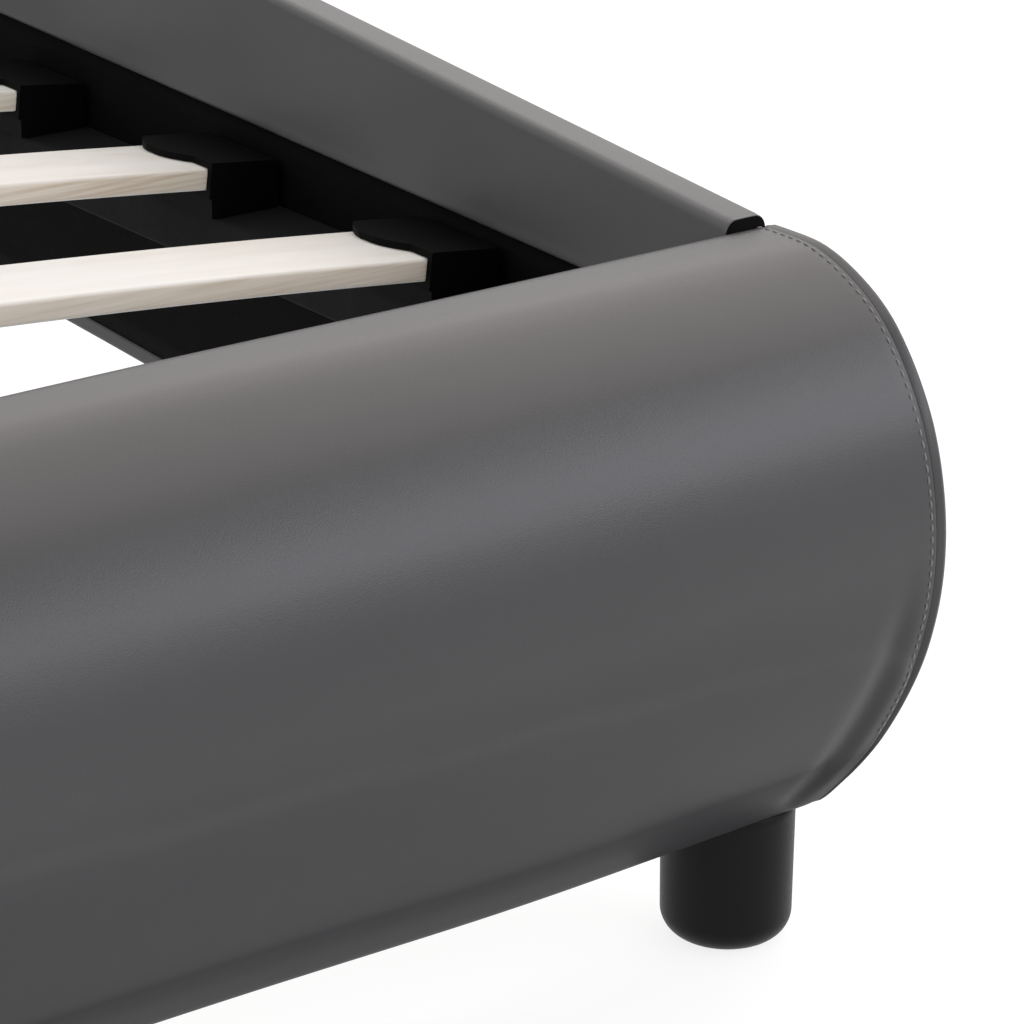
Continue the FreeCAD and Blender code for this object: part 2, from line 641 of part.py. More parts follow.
# ---------------------------------------------------------------- corner legs
def leg_body(label, x, y, rise):
    """Turned leg with a strongly rounded foot and a blind bore for its bolt. It tapers up to
    the frame and goes on straight for rise above it."""
    body = doc.addObject("PartDesign::Body", label)
    plane = [f for f in body.Origin.OriginFeatures if f.Role == "XZ_Plane"][0]
    axis = [f for f in body.Origin.OriginFeatures if f.Role == "Z_Axis"][0]
    sketch = body.newObject("Sketcher::SketchObject", label + "_profile")
    sketch.AttachmentSupport = (plane, [""])
    sketch.MapMode = "FlatFace"
    low, top = size("leg_bottom_radius"), size("leg_top_radius")
    height = size("leg_height")
    blind = size("leg_bolt_low") - 1
    corners = [(0, 0), (low, 0), (top, height)]
    corners += [(top, height + rise)] if rise else []
    corners += [(hole_radius, height + rise), (hole_radius, blind), (0, blind)]
    for start, stop in zip(corners, corners[1:] + corners[:1]):
        sketch.addGeometry(Part.LineSegment(FreeCAD.Vector(*start, 0), FreeCAD.Vector(*stop, 0)),
                           False)
    turned = body.newObject("PartDesign::Revolution", label + "_turned")
    turned.Profile = sketch
    turned.ReferenceAxis = (axis, [""])
    turned.Angle = 360
    doc.recompute()
    rim = [f"Edge{n}" for n, edge in enumerate(turned.Shape.Edges, start=1)
           if abs(edge.BoundBox.ZMax) < 1e-6 and edge.BoundBox.XLength > low]
    rounding = body.newObject("PartDesign::Fillet", label + "_rounding")
    rounding.Base = (turned, rim)
    rounding.setExpression("Radius", "Dimensions.leg_round")
    body.Placement.Base = FreeCAD.Vector(x, y, 0)
    return body


cope_reach = half_width + size("leg_from_end")
roll_envelope = prism(roll_face(-gap), -cope_reach, cope_reach).fuse(
    block(-cope_reach, cope_reach, roll_back - gap, 0, floor_of_frame, roll_top))
roll_envelope = roll_envelope.cut(block(-cope_reach, cope_reach, -overall_length, 0, 0,
                                        floor_of_frame))
for name, side in SIDES.items():
    keep(leg_body(f"leg_head_{name}", side * leg_x, LEG_Y["head"], 0), f"leg_head_{name}")
    turned = leg_body(f"leg_foot_{name}_turned", side * leg_x, LEG_Y["foot"], size("leg_cope"))
    envelope = doc.addObject("Part::Feature", f"leg_foot_{name}_cope")
    envelope.Shape = roll_envelope
    coped = doc.addObject("Part::Cut", f"leg_foot_{name}_coped")
    coped.Base = turned
    coped.Tool = envelope
    keep(coped, f"leg_foot_{name}")

# ---------------------------------------------------------------- hardware
brackets, bolts, inserts = [], [], []
for end in ("foot", "head"):
    plane, inward = corner(end)
    reach = size("bracket_reach")
    low, high = size("bracket_low"), size("bracket_low") + size("bracket_rise")
    near, far = sorted((plane, plane + inward * plate))
    on_end = block(bracket_edge - reach, bracket_edge, near, far, low, high)
    near, far = sorted((plane, plane + inward * reach))
    on_rail = block(bracket_edge - plate, bracket_edge, near, far, low, high)
    bracket = on_end.fuse(on_rail).removeSplitter().cut(corner_bolts(end, size("bolt_play")))
    brackets += both_sides([bracket])
    inserts += both_sides(corner_inserts(end))
    heads = []
    for height in bolt_heights:
        head_radius = size("bolt_head") / 2
        rise = size("bolt_head_rise")
        heads.append(rod(end_bolt_x, plane + inward * plate, height, head_radius, rise,
                         (0, inward, 0)))
        side_y = plane + inward * size("bracket_rail_bolt")
        heads.append(rod(bracket_edge - plate, side_y, height, head_radius, rise, (-1, 0, 0)))
    bolts += both_sides([shank.fuse(head).removeSplitter()
                         for shank, head in zip(corner_bolts(end), heads)])
shaped("corner_brackets", Part.makeCompound(brackets))
shaped("corner_bolts", Part.makeCompound(bolts))
shaped("corner_inserts", Part.makeCompound(inserts))
leg_bolts = [leg_bolt(side * leg_x, LEG_Y[end]) for end in ("foot", "head")
             for side in SIDES.values()]
shaped("leg_bolts", Part.makeCompound(leg_bolts))
shaped("ledge_screws", Part.makeCompound(both_sides([ledge_screw(y) for y in screw_y])))

# ---------------------------------------------------------------- check and write
doc.recompute()
for thing in doc.Objects:
    if any(word in ("Invalid", "Error") for word in thing.State):
        raise RuntimeError(f"{thing.Label} did not build: {thing.State}")
labels = [thing.Label for thing in nodes]
if len(set(labels)) != len(labels) or len(labels) > 60:
    raise RuntimeError(f"{len(labels)} nodes, {len(set(labels))} of them with a name of their own")
for thing in nodes:
    shape = thing.Shape
    if shape.isNull() or not shape.isValid() or not shape.Solids:
        raise RuntimeError(f"{thing.Label} has no valid solid")
    shape.exportStep(f"parts/{thing.Label}.step")
whole = Part.makeCompound([thing.Shape for thing in nodes]).BoundBox
print(len(nodes), "nodes", "box", [round(v, 2) for v in (
    whole.XMin, whole.XMax, whole.YMin, whole.YMax, whole.ZMin, whole.ZMax)])
print("roll", round(roll_depth, 1), round(roll_height, 1), "top", round(roll_top, 1),
      "back", round(roll_back, 2), "head", round(head_front, 2), "length", round(overall_length, 1),
      "legs", leg_x, {end: round(y, 3) for end, y in LEG_Y.items()})
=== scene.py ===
import math

import bmesh
import bpy
import numpy as np
from mathutils import Matrix, Vector


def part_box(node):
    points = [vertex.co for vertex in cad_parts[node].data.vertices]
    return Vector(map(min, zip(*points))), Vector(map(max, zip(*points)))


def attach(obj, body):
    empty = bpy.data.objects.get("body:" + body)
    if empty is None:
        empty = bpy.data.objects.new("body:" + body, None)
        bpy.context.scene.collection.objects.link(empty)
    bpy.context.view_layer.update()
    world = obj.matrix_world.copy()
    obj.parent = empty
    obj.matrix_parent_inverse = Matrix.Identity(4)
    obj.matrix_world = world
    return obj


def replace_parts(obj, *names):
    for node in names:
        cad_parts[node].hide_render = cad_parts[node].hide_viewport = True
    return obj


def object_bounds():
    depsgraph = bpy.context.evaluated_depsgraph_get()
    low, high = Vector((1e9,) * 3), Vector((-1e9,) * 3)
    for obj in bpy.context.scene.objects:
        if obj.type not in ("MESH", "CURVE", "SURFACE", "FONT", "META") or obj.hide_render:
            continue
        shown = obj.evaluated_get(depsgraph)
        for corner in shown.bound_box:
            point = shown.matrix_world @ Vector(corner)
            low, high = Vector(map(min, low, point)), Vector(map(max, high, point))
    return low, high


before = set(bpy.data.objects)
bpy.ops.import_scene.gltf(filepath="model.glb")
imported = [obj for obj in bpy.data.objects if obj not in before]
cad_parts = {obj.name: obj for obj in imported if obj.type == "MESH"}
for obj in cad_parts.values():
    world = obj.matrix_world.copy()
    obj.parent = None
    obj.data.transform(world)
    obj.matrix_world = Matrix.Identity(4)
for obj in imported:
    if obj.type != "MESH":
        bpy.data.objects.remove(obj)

# Looks of a sleigh bed: padded leather roll, scrolled headboard and rails, bowed birch slats in
# black holders, round black legs. Metres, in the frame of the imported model: +X is right seen from
# the foot, +Y runs to the head, +Z is up. The nodes that no piece replaces keep their shape and
# get a finish of their own.

cad_low, cad_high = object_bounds()

# ------------------------------------------------------------------ places read from the frame
ROLL_LOW, ROLL_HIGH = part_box("footboard_cover")
HEAD_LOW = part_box("headboard_cover")[0]
RAIL_LOW, RAIL_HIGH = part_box("rail_cover_right")
LEDGE_LOW, LEDGE_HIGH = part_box("slat_ledge_right")
LINING_LOW, LINING_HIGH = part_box("rail_lining_right")
HALF_WIDTH = cad_high.x
ROLL_BACK, ROLL_TOP = ROLL_HIGH.y, ROLL_HIGH.z
HEAD_FRONT, FRAME_LOW = HEAD_LOW.y, HEAD_LOW.z
SIDES = {"left": -1, "right": 1}

# ------------------------------------------------------------------ driving sizes
LEATHER = 0.001
SEAM_FROM_END = 0.0066      # seam between a curved panel and its end cover
SEAM_SINK, SEAM_REACH = 0.0009, 0.0009
STITCH_FROM_END = 0.0106    # topstitched line beside that seam
STITCH_SINK, STITCH_REACH = 0.0003, 0.0013
STITCH_PITCH, STITCH_LENGTH, STITCH_RADIUS = 0.0055, 0.0040, 0.00042
STITCH_STOP = -0.55         # no stitches where the leather faces further down than this
RIM_RADIUS, RIM_PROUD = 0.0034, 0.0009      # rolled rim of an end cover, and its rise past the seam
COVER_CROWN = 0.0009        # how far the middle of an end cover stands out
ROLL_ROUND = 0.002          # rounding of the roll's folded back edges
HEAD_ROUND = 0.004          # rounding of the headboard's bottom edges

ROLL_FLAT = 0.026
ROLL_ARCS = [(0.085, 45), (0.140, 45), (0.149, 25), (0.282, 22), (0.020, 43)]
ROLL_INSET = 0.0007         # how far the padded face is pulled in at its seams

HEAD_STRAIGHT = 0.424
HEAD_LEAN, HEAD_SCROLL = (0.900, 20), (0.110, 120)
HEAD_THICK = 0.070
HEAD_INSET = 0.0012

RAIL_SLOPE = math.radians(5.1)
RAIL_STRAIGHT, RAIL_SWEEP = 1.200, 9.0
RAIL_START_TOP = ROLL_TOP + 0.006
RAIL_BOTTOM, RAIL_ARCH, RAIL_ROUND = 0.1025, 0.051, 0.007
LEATHER_EDGE, LEATHER_EDGE_RISE = 0.3005, 0.03
WRAP_STRIP = 0.010
LINING_TUCK = 0.001         # how far the lining goes under the leather's edges
FOLD_IN, FOLD_OUT = 0.0004, 0.0006      # how the leather turns the rail's ends

SLAT_WIDTH, SLAT_THICK, SLAT_CAMBER, SLAT_END_TOP = 0.060, 0.012, 0.046, 0.295
SLAT_ROUND = 0.0022


# ------------------------------------------------------------------ outlines
OUTLINE_STEP, OUTLINE_BLUR = 0.002, 2.5     # spacing of an outline's points, and blur in points


def trace(start, heading, steps, spacing):
    """Points along tangent lines and arcs in the YZ plane. A step is a length, or a (radius,
    turn) pair whose turn is in degrees, positive to the left."""
    y, z = start
    points = [(y, z)]
    for step in steps:
        along = math.radians(heading)
        if not isinstance(step, tuple):
            count = max(1, round(step / spacing))
            points += [(y + step * k / count * math.cos(along), z + step * k / count * math.sin(along))
                       for k in range(1, count + 1)]
        else:
            radius, turn = step
            side = 1 if turn > 0 else -1
            centre_y, centre_z = y - side * radius * math.sin(along), z + side * radius * math.cos(along)
            count = max(6, round(radius * math.radians(abs(turn)) / spacing))
            for k in range(1, count + 1):
                angle = along - side * math.pi / 2 + math.radians(turn) * k / count
                points.append((centre_y + radius * math.cos(angle), centre_z + radius * math.sin(angle)))
            heading += turn
        y, z = points[-1]
    return np.array(points)


def resampled(points, count):
    """The same line as count + 1 points at equal steps."""
    steps = np.r_[0, np.cumsum(np.linalg.norm(np.diff(points, axis=0), axis=1))]
    wanted = np.linspace(0, steps[-1], count + 1)
    return np.stack([np.interp(wanted, steps, points[:, k]) for k in range(2)], axis=1)


def loop_of(front, rear):
    """Closed outline from two chains that run between the same two ends."""
    return np.vstack([front, rear[-2:0:-1]])


def smoothed(values, width, closed):
    """Gaussian blur along a row of points, width in points."""
    reach = int(3 * width) + 1
    kernel = np.exp(-0.5 * (np.arange(-reach, reach + 1) / width) ** 2)
    kernel /= kernel.sum()
    padded = np.pad(values, ((reach, reach), (0, 0)), mode="wrap" if closed else "edge")
    return np.stack([np.convolve(padded[:, k], kernel, mode="valid") for k in range(values.shape[1])],
                    axis=1)


def softened(chain):
    """The chain with the joints between its arcs eased, and both its ends left as they are."""
    index = np.arange(len(chain))
    share = ease(np.minimum(index, index[::-1]), 6, 16)[:, None]
    return chain * (1 - share) + smoothed(chain, OUTLINE_BLUR, False) * share


def outward(points, closed=True):
    """Unit normals of an outline in its own plane, pointing out of it."""
    if closed:
        ahead, behind = np.roll(points, -1, axis=0), np.roll(points, 1, axis=0)
    else:
        ahead, behind = np.vstack([points[1:], points[-1:]]), np.vstack([points[:1], points[:-1]])
    along = ahead - behind
    along /= np.linalg.norm(along, axis=1)[:, None]
    y, z = points[:, 0], points[:, 1]
    area = np.sum(y * np.roll(z, -1) - np.roll(y, -1) * z)
    normal = np.stack([along[:, 1], -along[:, 0]], axis=1)
    return normal if area > 0 else -normal


def graded(low, high, fine, coarse, growth=1.22):
    """Stations from low to high, fine at both ends and coarse in the middle."""
    steps, step, room = [0.0], fine, (high - low) / 2
    while steps[-1] + step < room:
        steps.append(steps[-1] + step)
        step = min(coarse, step * growth)
    half = np.array(steps) * room / (steps[-1] + step / 2)
    return np.r_[low + half, high - half[::-1]]


def ease(value, low, high):
    """Smooth 0 to 1 ramp between low and high."""
    t = np.clip((np.asarray(value, float) - low) / (high - low), 0, 1)
    return t * t * (3 - 2 * t)


# ------------------------------------------------------------------ mesh building
def grid_faces(rows, columns, closed):
    """Quads of a grid whose columns run along a station, closed round it or not."""
    last = columns if closed else columns - 1
    return [(r * columns + c, r * columns + (c + 1) % columns,
             (r + 1) * columns + (c + 1) % columns, (r + 1) * columns + c)
            for r in range(rows - 1) for c in range(last)]


def piece(name, vertices, faces, material, body="bed_frame", smooth=True):
    """A mesh object that rides on a body and wears the given material."""
    mesh = bpy.data.meshes.new(name)
    mesh.from_pydata([tuple(v) for v in vertices], [], faces)
    mesh.update()
    obj = bpy.data.objects.new(name, mesh)
    bpy.context.scene.collection.objects.link(obj)
    bpy.context.view_layer.objects.active = obj
    repair_normals(mesh)
    if smooth:
        mesh.polygons.foreach_set("use_smooth", [True] * len(mesh.polygons))
    mesh.materials.append(material)
    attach(obj, body)
    return obj


def repair_normals(mesh):
    """Turns all faces the same way, outwards where the mesh is closed."""
    work = bmesh.new()
    work.from_mesh(mesh)
    bmesh.ops.recalc_face_normals(work, faces=work.faces)
    work.to_mesh(mesh)
    work.free()


def thickened(obj, thickness):
    """Gives a leather or cloth surface its thickness, inwards."""
    solid = obj.modifiers.new("thickness", "SOLIDIFY")
    solid.thickness = thickness
    solid.offset = -1
    return obj


def subdivided(obj, levels=1):
    smooth = obj.modifiers.new("smooth", "SUBSURF")
    smooth.levels = smooth.render_levels = levels
    return obj


SWELL_BLUR = 4.0            # points over which small puckers are smoothed away
SWELL_LEAST, SWELL_MOST = -0.3, 1.35        # limits of the swelling, in insets


def swollen(name, grid, normals, held, pressure, inset, closed, frames=20):
    """How far each point of a leather panel is pushed out by its padding, from 0 at the held
    seams to about inset in the open. A cloth simulation gives the pattern of it."""
    rows, columns = grid.shape[:2]
    mesh = bpy.data.meshes.new(name + "_cloth")
    mesh.from_pydata([tuple(v) for v in grid.reshape(-1, 3)], [], grid_faces(rows, columns, closed))
    cloth = bpy.data.objects.new(name + "_cloth", mesh)
    bpy.context.scene.collection.objects.link(cloth)
    if mesh.polygons[0].normal.dot(Vector(normals[0, 0])) < 0:
        mesh.flip_normals()
    group = cloth.vertex_groups.new(name="held")
    weights = np.round(np.maximum(held, 0.0).ravel(), 3)
    for weight in np.unique(weights):
        group.add(np.flatnonzero(weights == weight).tolist(), float(weight), "REPLACE")
    settings = cloth.modifiers.new("cloth", "CLOTH").settings
    settings.vertex_group_mass = "held"
    settings.pin_stiffness = 1.0
    settings.quality = 6
    settings.mass = 0.25
    settings.tension_stiffness = settings.compression_stiffness = 40
    settings.shear_stiffness = 20
    settings.bending_stiffness = 6
    settings.use_pressure = True
    settings.uniform_pressure_force = pressure
    settings.effector_weights.gravity = 0
    scene = bpy.context.scene
    for number in range(1, frames + 1):
        scene.frame_set(number)
    found = cloth.evaluated_get(bpy.context.evaluated_depsgraph_get())
    co = np.zeros(rows * columns * 3)
    found.data.vertices.foreach_get("co", co)
    rise = np.sum((co.reshape(grid.shape) - grid) * normals, axis=2)
    rise = smoothed(smoothed(rise, SWELL_BLUR, False).T, SWELL_BLUR, closed).T * (1 - held)
    scene.frame_set(1)
    bpy.data.objects.remove(cloth)
    middle = slice(rows // 3, 2 * rows // 3)
    free = rise[middle][held[middle] < 0.5]
    typical = max(np.median(free), 1e-5)
    print(f"{name}: cloth rose {typical * 1000:.2f} mm, at most {rise.max() * 1000:.2f} mm")
    return np.clip(rise * inset / typical, SWELL_LEAST * inset, SWELL_MOST * inset)


def stitches(name, path, normals, x, material):
    """A row of short raised stitches along a line on a panel, left out on its underside."""
    steps = np.r_[0, np.cumsum(np.linalg.norm(np.diff(path, axis=0), axis=1))]
    vertices, faces = [], []
    rings, sectors = 7, 8
    for number in range(int(steps[-1] / STITCH_PITCH)):
        middle = (number + 0.5) * STITCH_PITCH
        k = int(np.searchsorted(steps, middle))
        part = (middle - steps[k - 1]) / (steps[k] - steps[k - 1])
        centre = path[k - 1] * (1 - part) + path[k] * part
        along = path[k] - path[k - 1]
        along /= np.linalg.norm(along)
        out = normals[k]
        if out[1] < STITCH_STOP:
            continue
        first = len(vertices)
        for ring in range(rings):
            t = ring / (rings - 1) * 2 - 1
            thick = STITCH_RADIUS * math.sqrt(max(0.04, 1 - abs(t) ** 3))
            sink = 0.0003 - 0.00040 * t * t
            for sector in range(sectors):
                angle = 2 * math.pi * sector / sectors
                flat = centre + along * t * STITCH_LENGTH / 2 + out * (sink + thick * math.sin(angle))
                vertices.append((x + thick * 1.15 * math.cos(angle), flat[0], flat[1]))
        faces += [(first + a, first + b, first + c, first + d)
                  for a, b, c, d in grid_faces(rings, sectors, True)]
        faces.append(tuple(range(first + sectors - 1, first - 1, -1)))
        faces.append(tuple(range(first + (rings - 1) * sectors, first + rings * sectors)))
    return piece(name, vertices, faces, material)


# ------------------------------------------------------------------ materials
class Nodes:
    """A material's node tree, with short ways to add and join nodes."""

    def __init__(self, name):
        self.material = bpy.data.materials.new(name)
        self.material.use_nodes = True
        self.tree = self.material.node_tree
        self.shader = self.tree.nodes["Principled BSDF"]
        self.place = self.add("ShaderNodeTexCoord").outputs["Object"]

    def add(self, kind, **values):
        node = self.tree.nodes.new(kind)
        for key, value in values.items():
            if key in node.inputs:
                node.inputs[key].default_value = value
            else:
                setattr(node, key, value)
        return node

    def join(self, source, target):
        self.tree.links.new(source, target)

    def set(self, **values):
        for key, value in values.items():
            self.shader.inputs[key.replace("_", " ")].default_value = value

    def stretched(self, scale, source=None):
        mapping = self.add("ShaderNodeMapping")
        mapping.inputs["Scale"].default_value = scale
        self.join(source or self.place, mapping.inputs["Vector"])
        return mapping.outputs["Vector"]

    def noise(self, scale, detail=3.0, roughness=0.5, source=None, distortion=0.0):
        node = self.add("ShaderNodeTexNoise", Scale=scale, Detail=detail, Roughness=roughness,
                        Distortion=distortion)
        self.join(source or self.place, node.inputs["Vector"])
        return node.outputs["Fac"]

    def cells(self, scale, feature="DISTANCE_TO_EDGE", source=None):
        node = self.add("ShaderNodeTexVoronoi", Scale=scale, feature=feature)
        self.join(source or self.place, node.inputs["Vector"])
        return node.outputs["Distance"]

    def ramp(self, source, *stops):
        """Colours or greys at the given places."""
        node = self.add("ShaderNodeValToRGB")
        while len(node.color_ramp.elements) < len(stops):
            node.color_ramp.elements.new(0.5)
        for element, (place, colour) in zip(node.color_ramp.elements, stops):
            element.position = place
            element.color = colour if len(colour) == 4 else (*colour, 1)
        self.join(source, node.inputs["Fac"])
        return node.outputs["Color"]

    def spread(self, source, low, high, from_low=0.3, from_high=0.7):
        node = self.add("ShaderNodeMapRange")
        for key, value in (("From Min", from_low), ("From Max", from_high), ("To Min", low),
                           ("To Max", high)):
            node.inputs[key].default_value = value
        self.join(source, node.inputs["Value"])
        return node.outputs["Result"]

    def facing(self, axis):
        """One component of the surface's direction."""
        parts = self.add("ShaderNodeSeparateXYZ")
        self.join(self.add("ShaderNodeNewGeometry").outputs["Normal"], parts.inputs["Vector"])
        return parts.outputs[axis]

    def sum(self, *terms):
        """Weighted sum of (output, weight) pairs."""
        total = None
        for output, weight in terms:
            node = self.add("ShaderNodeMath", operation="MULTIPLY_ADD")
            self.join(output, node.inputs[0])
            node.inputs[1].default_value = weight
            node.inputs[2].default_value = 0.0
            if total is not None:
                self.join(total, node.inputs[2])
            total = node.outputs[0]
        return total

    def bump(self, height, distance, strength=1.0):
        node = self.add("ShaderNodeBump", Distance=distance, Strength=strength)
        self.join(height, node.inputs["Height"])
        self.join(node.outputs["Normal"], self.shader.inputs["Normal"])

    def colour(self, output):
        self.join(output, self.shader.inputs["Base Color"])

    def roughness(self, output):
        self.join(output, self.shader.inputs["Roughness"])


def grey(value):
    return (value, value, value)


def leather_material(name, low, high, gloss):
    """Smooth dark grey artificial leather: fine pebble, slight mottling, and a specular level that
    grows from one facing to another, each a (direction's Z, specular level) pair. The low end is
    painted shade: it damps the reflection on the faces the light would not reach, not a duller finish."""
    m = Nodes(name)
    pebble = m.cells(900.0)
    pores = m.noise(2600.0, 2.0)
    broad = m.noise(5.0, 3.0)
    fine = m.noise(60.0, 3.0)
    m.colour(m.ramp(m.sum((broad, 0.6), (fine, 0.4)), (0.30, low), (0.70, high)))
    m.roughness(m.spread(m.sum((broad, 0.5), (pores, 0.5)), 0.30, 0.38))
    m.bump(m.sum((m.spread(pebble, 0, 1, 0.0, 0.35), 0.7), (pores, 0.3), (fine, 0.35)), 0.00004)
    # Painted shade: the specular level drops towards the shaded facing, damping what the leather reflects
    # there.
    (shaded_z, shaded_level), (glossy_z, glossy) = gloss
    m.join(m.spread(m.facing("Z"), shaded_level, glossy, shaded_z, glossy_z),
           m.shader.inputs["Specular IOR Level"])
    return m.material


def thread_material():
    m = Nodes("grey_thread")
    twist = m.add("ShaderNodeTexWave", Scale=900.0, Distortion=1.5)
    m.join(m.place, twist.inputs["Vector"])
    m.colour(m.ramp(twist.outputs["Fac"], (0.2, grey(0.11)), (0.8, grey(0.18))))
    m.bump(twist.outputs["Fac"], 0.0001)
    m.set(Roughness=0.55, Sheen_Weight=0.2)
    return m.material


def black_cloth_material(name, low, high, gloss, weave=700.0):
    """Black spun-bonded cloth: felted fibres with pressed dots."""
    m = Nodes(name)
    fibres = m.noise(1.0, 4.0, 0.65, m.stretched((900.0, 260.0, 700.0)), 1.2)
    dots = m.cells(weave, "F1")
    broad = m.noise(14.0, 2.0)
    m.colour(m.ramp(m.sum((fibres, 0.6), (broad, 0.4)), (0.3, low), (0.7, high)))
    m.roughness(m.spread(fibres, 0.72, 0.88))
    m.bump(m.sum((fibres, 0.7), (m.spread(dots, 0, 1, 0.1, 0.5), 0.5)), 0.00012)
    m.set(Specular_IOR_Level=gloss)
    return m.material


def wood_material(name, pale, dark, line, along=(1.0, 14.0, 14.0), gloss=(0.42, 0.55), plies=False):
    """Straight-grained wood along X: broad figure, fine pores and, where asked, veneer layers."""
    m = Nodes(name)
    figure = m.noise(9.0, 3.0, 0.55, m.stretched(along), 0.6)
    pores = m.noise(60.0, 4.0, 0.6, m.stretched((along[0] * 0.7, along[1] * 0.6, along[2] * 0.6)), 0.2)
    blotch = m.noise(3.0, 2.0)
    tone = m.sum((figure, 0.55), (pores, 0.3), (blotch, 0.15))
    base = m.ramp(tone, (0.34, dark), (0.52, pale), (0.68, pale))
    if plies:
        layers = m.add("ShaderNodeTexWave", wave_type="BANDS", bands_direction="Z", Scale=95.0,
                       Distortion=0.6)
        m.join(m.place, layers.inputs["Vector"])
        mix = m.add("ShaderNodeMix", data_type="RGBA", blend_type="MULTIPLY")
        mix.inputs["Factor"].default_value = 0.35
        m.join(base, mix.inputs["A"])
        m.join(m.ramp(layers.outputs["Fac"], (0.15, line), (0.45, grey(1.0))), mix.inputs["B"])
        base = mix.outputs["Result"]
    m.colour(base)
    m.roughness(m.spread(pores, *gloss))
    m.bump(m.sum((pores, 0.6), (figure, 0.4)), 0.00015)
    return m.material


def slat_material():
    """Pale birch: nearly white broad faces, warmer grain lines on the edges."""
    m = Nodes("pale_birch")
    figure = m.noise(5.0, 3.0, 0.5, m.stretched((0.3, 12.0, 12.0)), 0.15)
    pores = m.noise(40.0, 4.0, 0.6, m.stretched((0.35, 12.0, 12.0)))
    blotch = m.noise(7.0, 2.0)
    face = m.ramp(m.sum((figure, 0.5), (pores, 0.3), (blotch, 0.2)),
                  (0.34, (0.53, 0.505, 0.465)), (0.50, (0.575, 0.56, 0.53)), (0.66, (0.595, 0.585, 0.565)))
    edge = m.ramp(m.sum((figure, 0.35), (pores, 0.65)),
                  (0.34, (0.52, 0.43, 0.33)), (0.50, (0.64, 0.57, 0.48)), (0.66, (0.70, 0.64, 0.56)))
    upright = m.add("ShaderNodeMath", operation="ABSOLUTE")
    m.join(m.facing("Z"), upright.inputs[0])
    mix = m.add("ShaderNodeMix", data_type="RGBA")
    m.join(m.spread(upright.outputs[0], 0, 1, 0.2, 0.8), mix.inputs["Factor"])
    m.join(edge, mix.inputs["A"])
    m.join(face, mix.inputs["B"])
    m.colour(mix.outputs["Result"])
    m.roughness(m.spread(pores, 0.42, 0.56))
    m.bump(m.sum((pores, 0.6), (figure, 0.4)), 0.0001)
    return m.material


def plastic_material(name, low, high, rough, gloss, grain=1400.0):
    """Moulded plastic with a fine spark-eroded grain."""
    m = Nodes(name)
    speckle = m.noise(grain, 2.0)
    broad = m.noise(18.0, 3.0)
    m.colour(m.ramp(m.sum((speckle, 0.4), (broad, 0.6)), (0.35, low), (0.65, high)))
    m.roughness(m.spread(m.sum((speckle, 0.6), (broad, 0.4)), rough - 0.06, rough + 0.06))
    m.bump(speckle, 0.00005)
    m.set(Specular_IOR_Level=gloss)
    return m.material


def metal_material(name, low, high, rough, metallic=1.0, coat=0.0):
    """Metal with brushed or rolled streaks and small stains."""
    m = Nodes(name)
    streaks = m.noise(30.0, 3.0, 0.6, m.stretched((1.0, 1.0, 22.0)))
    stains = m.noise(120.0, 4.0)
    m.colour(m.ramp(m.sum((streaks, 0.5), (stains, 0.5)), (0.35, low), (0.65, high)))
    m.roughness(m.spread(m.sum((streaks, 0.5), (stains, 0.5)), rough - 0.08, rough + 0.10))
    m.bump(streaks, 0.00004)
    m.set(Metallic=metallic, Coat_Weight=coat)
    return m.material


def floor_material():
    """Matt white studio floor with the faintest unevenness."""
    m = Nodes("white_floor")
    broad = m.noise(0.8, 2.0)
    m.colour(m.ramp(broad, (0.3, grey(0.21)), (0.7, grey(0.23))))
    m.set(Roughness=0.9, Specular_IOR_Level=0.0, Emission_Color=(1, 1, 1, 1), Emission_Strength=0.82)
    return m.material


# Painted shade on the roll and headboard: their reflection fades almost to nothing on faces turned down, in
# place of the shadowed floor beneath them.
LEATHER_LOOK = leather_material("dark_grey_faux_leather", (0.0285, 0.0280, 0.0298),
                                (0.0322, 0.0316, 0.0336), ((-0.60, 0.012), (0.0, 0.5)))
# Painted light: the rails wear a copy of the same leather with more than twice the roll's base brightness,
# for the light on their inner faces. Its reflection, low on upright faces, is painted shade.
RAIL_LEATHER_PAINTED_LIGHT = leather_material("rail_leather_painted_lighter", (0.0640, 0.0635, 0.0665),
                             (0.0690, 0.0685, 0.0715), ((0.05, 0.10), (0.85, 0.32)))
THREAD = thread_material()
# Black cloth whose colour is darkened far past the cloth's own, as painted shade for the well inside the
# rails.
LINING_AND_SHADE_LOOK = black_cloth_material("black_lining", grey(0.0012), grey(0.0024), 0.06)
WRAP_LOOK = black_cloth_material("black_wrap", (0.003, 0.0033, 0.0038), (0.007, 0.0076, 0.0088),
                                 0.10, 500.0)
SLAT_LOOK = slat_material()
HOLDER_LOOK = plastic_material("black_holder_plastic", grey(0.0012), grey(0.0020), 0.6, 0.05)
LEG_LOOK = plastic_material("black_leg_finish", grey(0.0018), grey(0.0028), 0.42, 0.14, 700.0)
FOOT_LOOK = plastic_material("black_foot_plastic", grey(0.012), grey(0.018), 0.5, 0.4)
STEEL_LOOK = metal_material("black_powder_steel", grey(0.012), grey(0.022), 0.5, 0.0, 0.1)
ZINC_LOOK = metal_material("zinc_plated_steel", (0.55, 0.55, 0.52), (0.70, 0.70, 0.66), 0.34)
PLY_LOOK = wood_material("poplar_plywood", (0.70, 0.57, 0.40), (0.52, 0.38, 0.23), grey(0.55), plies=True)
PINE_LOOK = wood_material("raw_pine", (0.76, 0.60, 0.38), (0.58, 0.38, 0.19), grey(0.6))


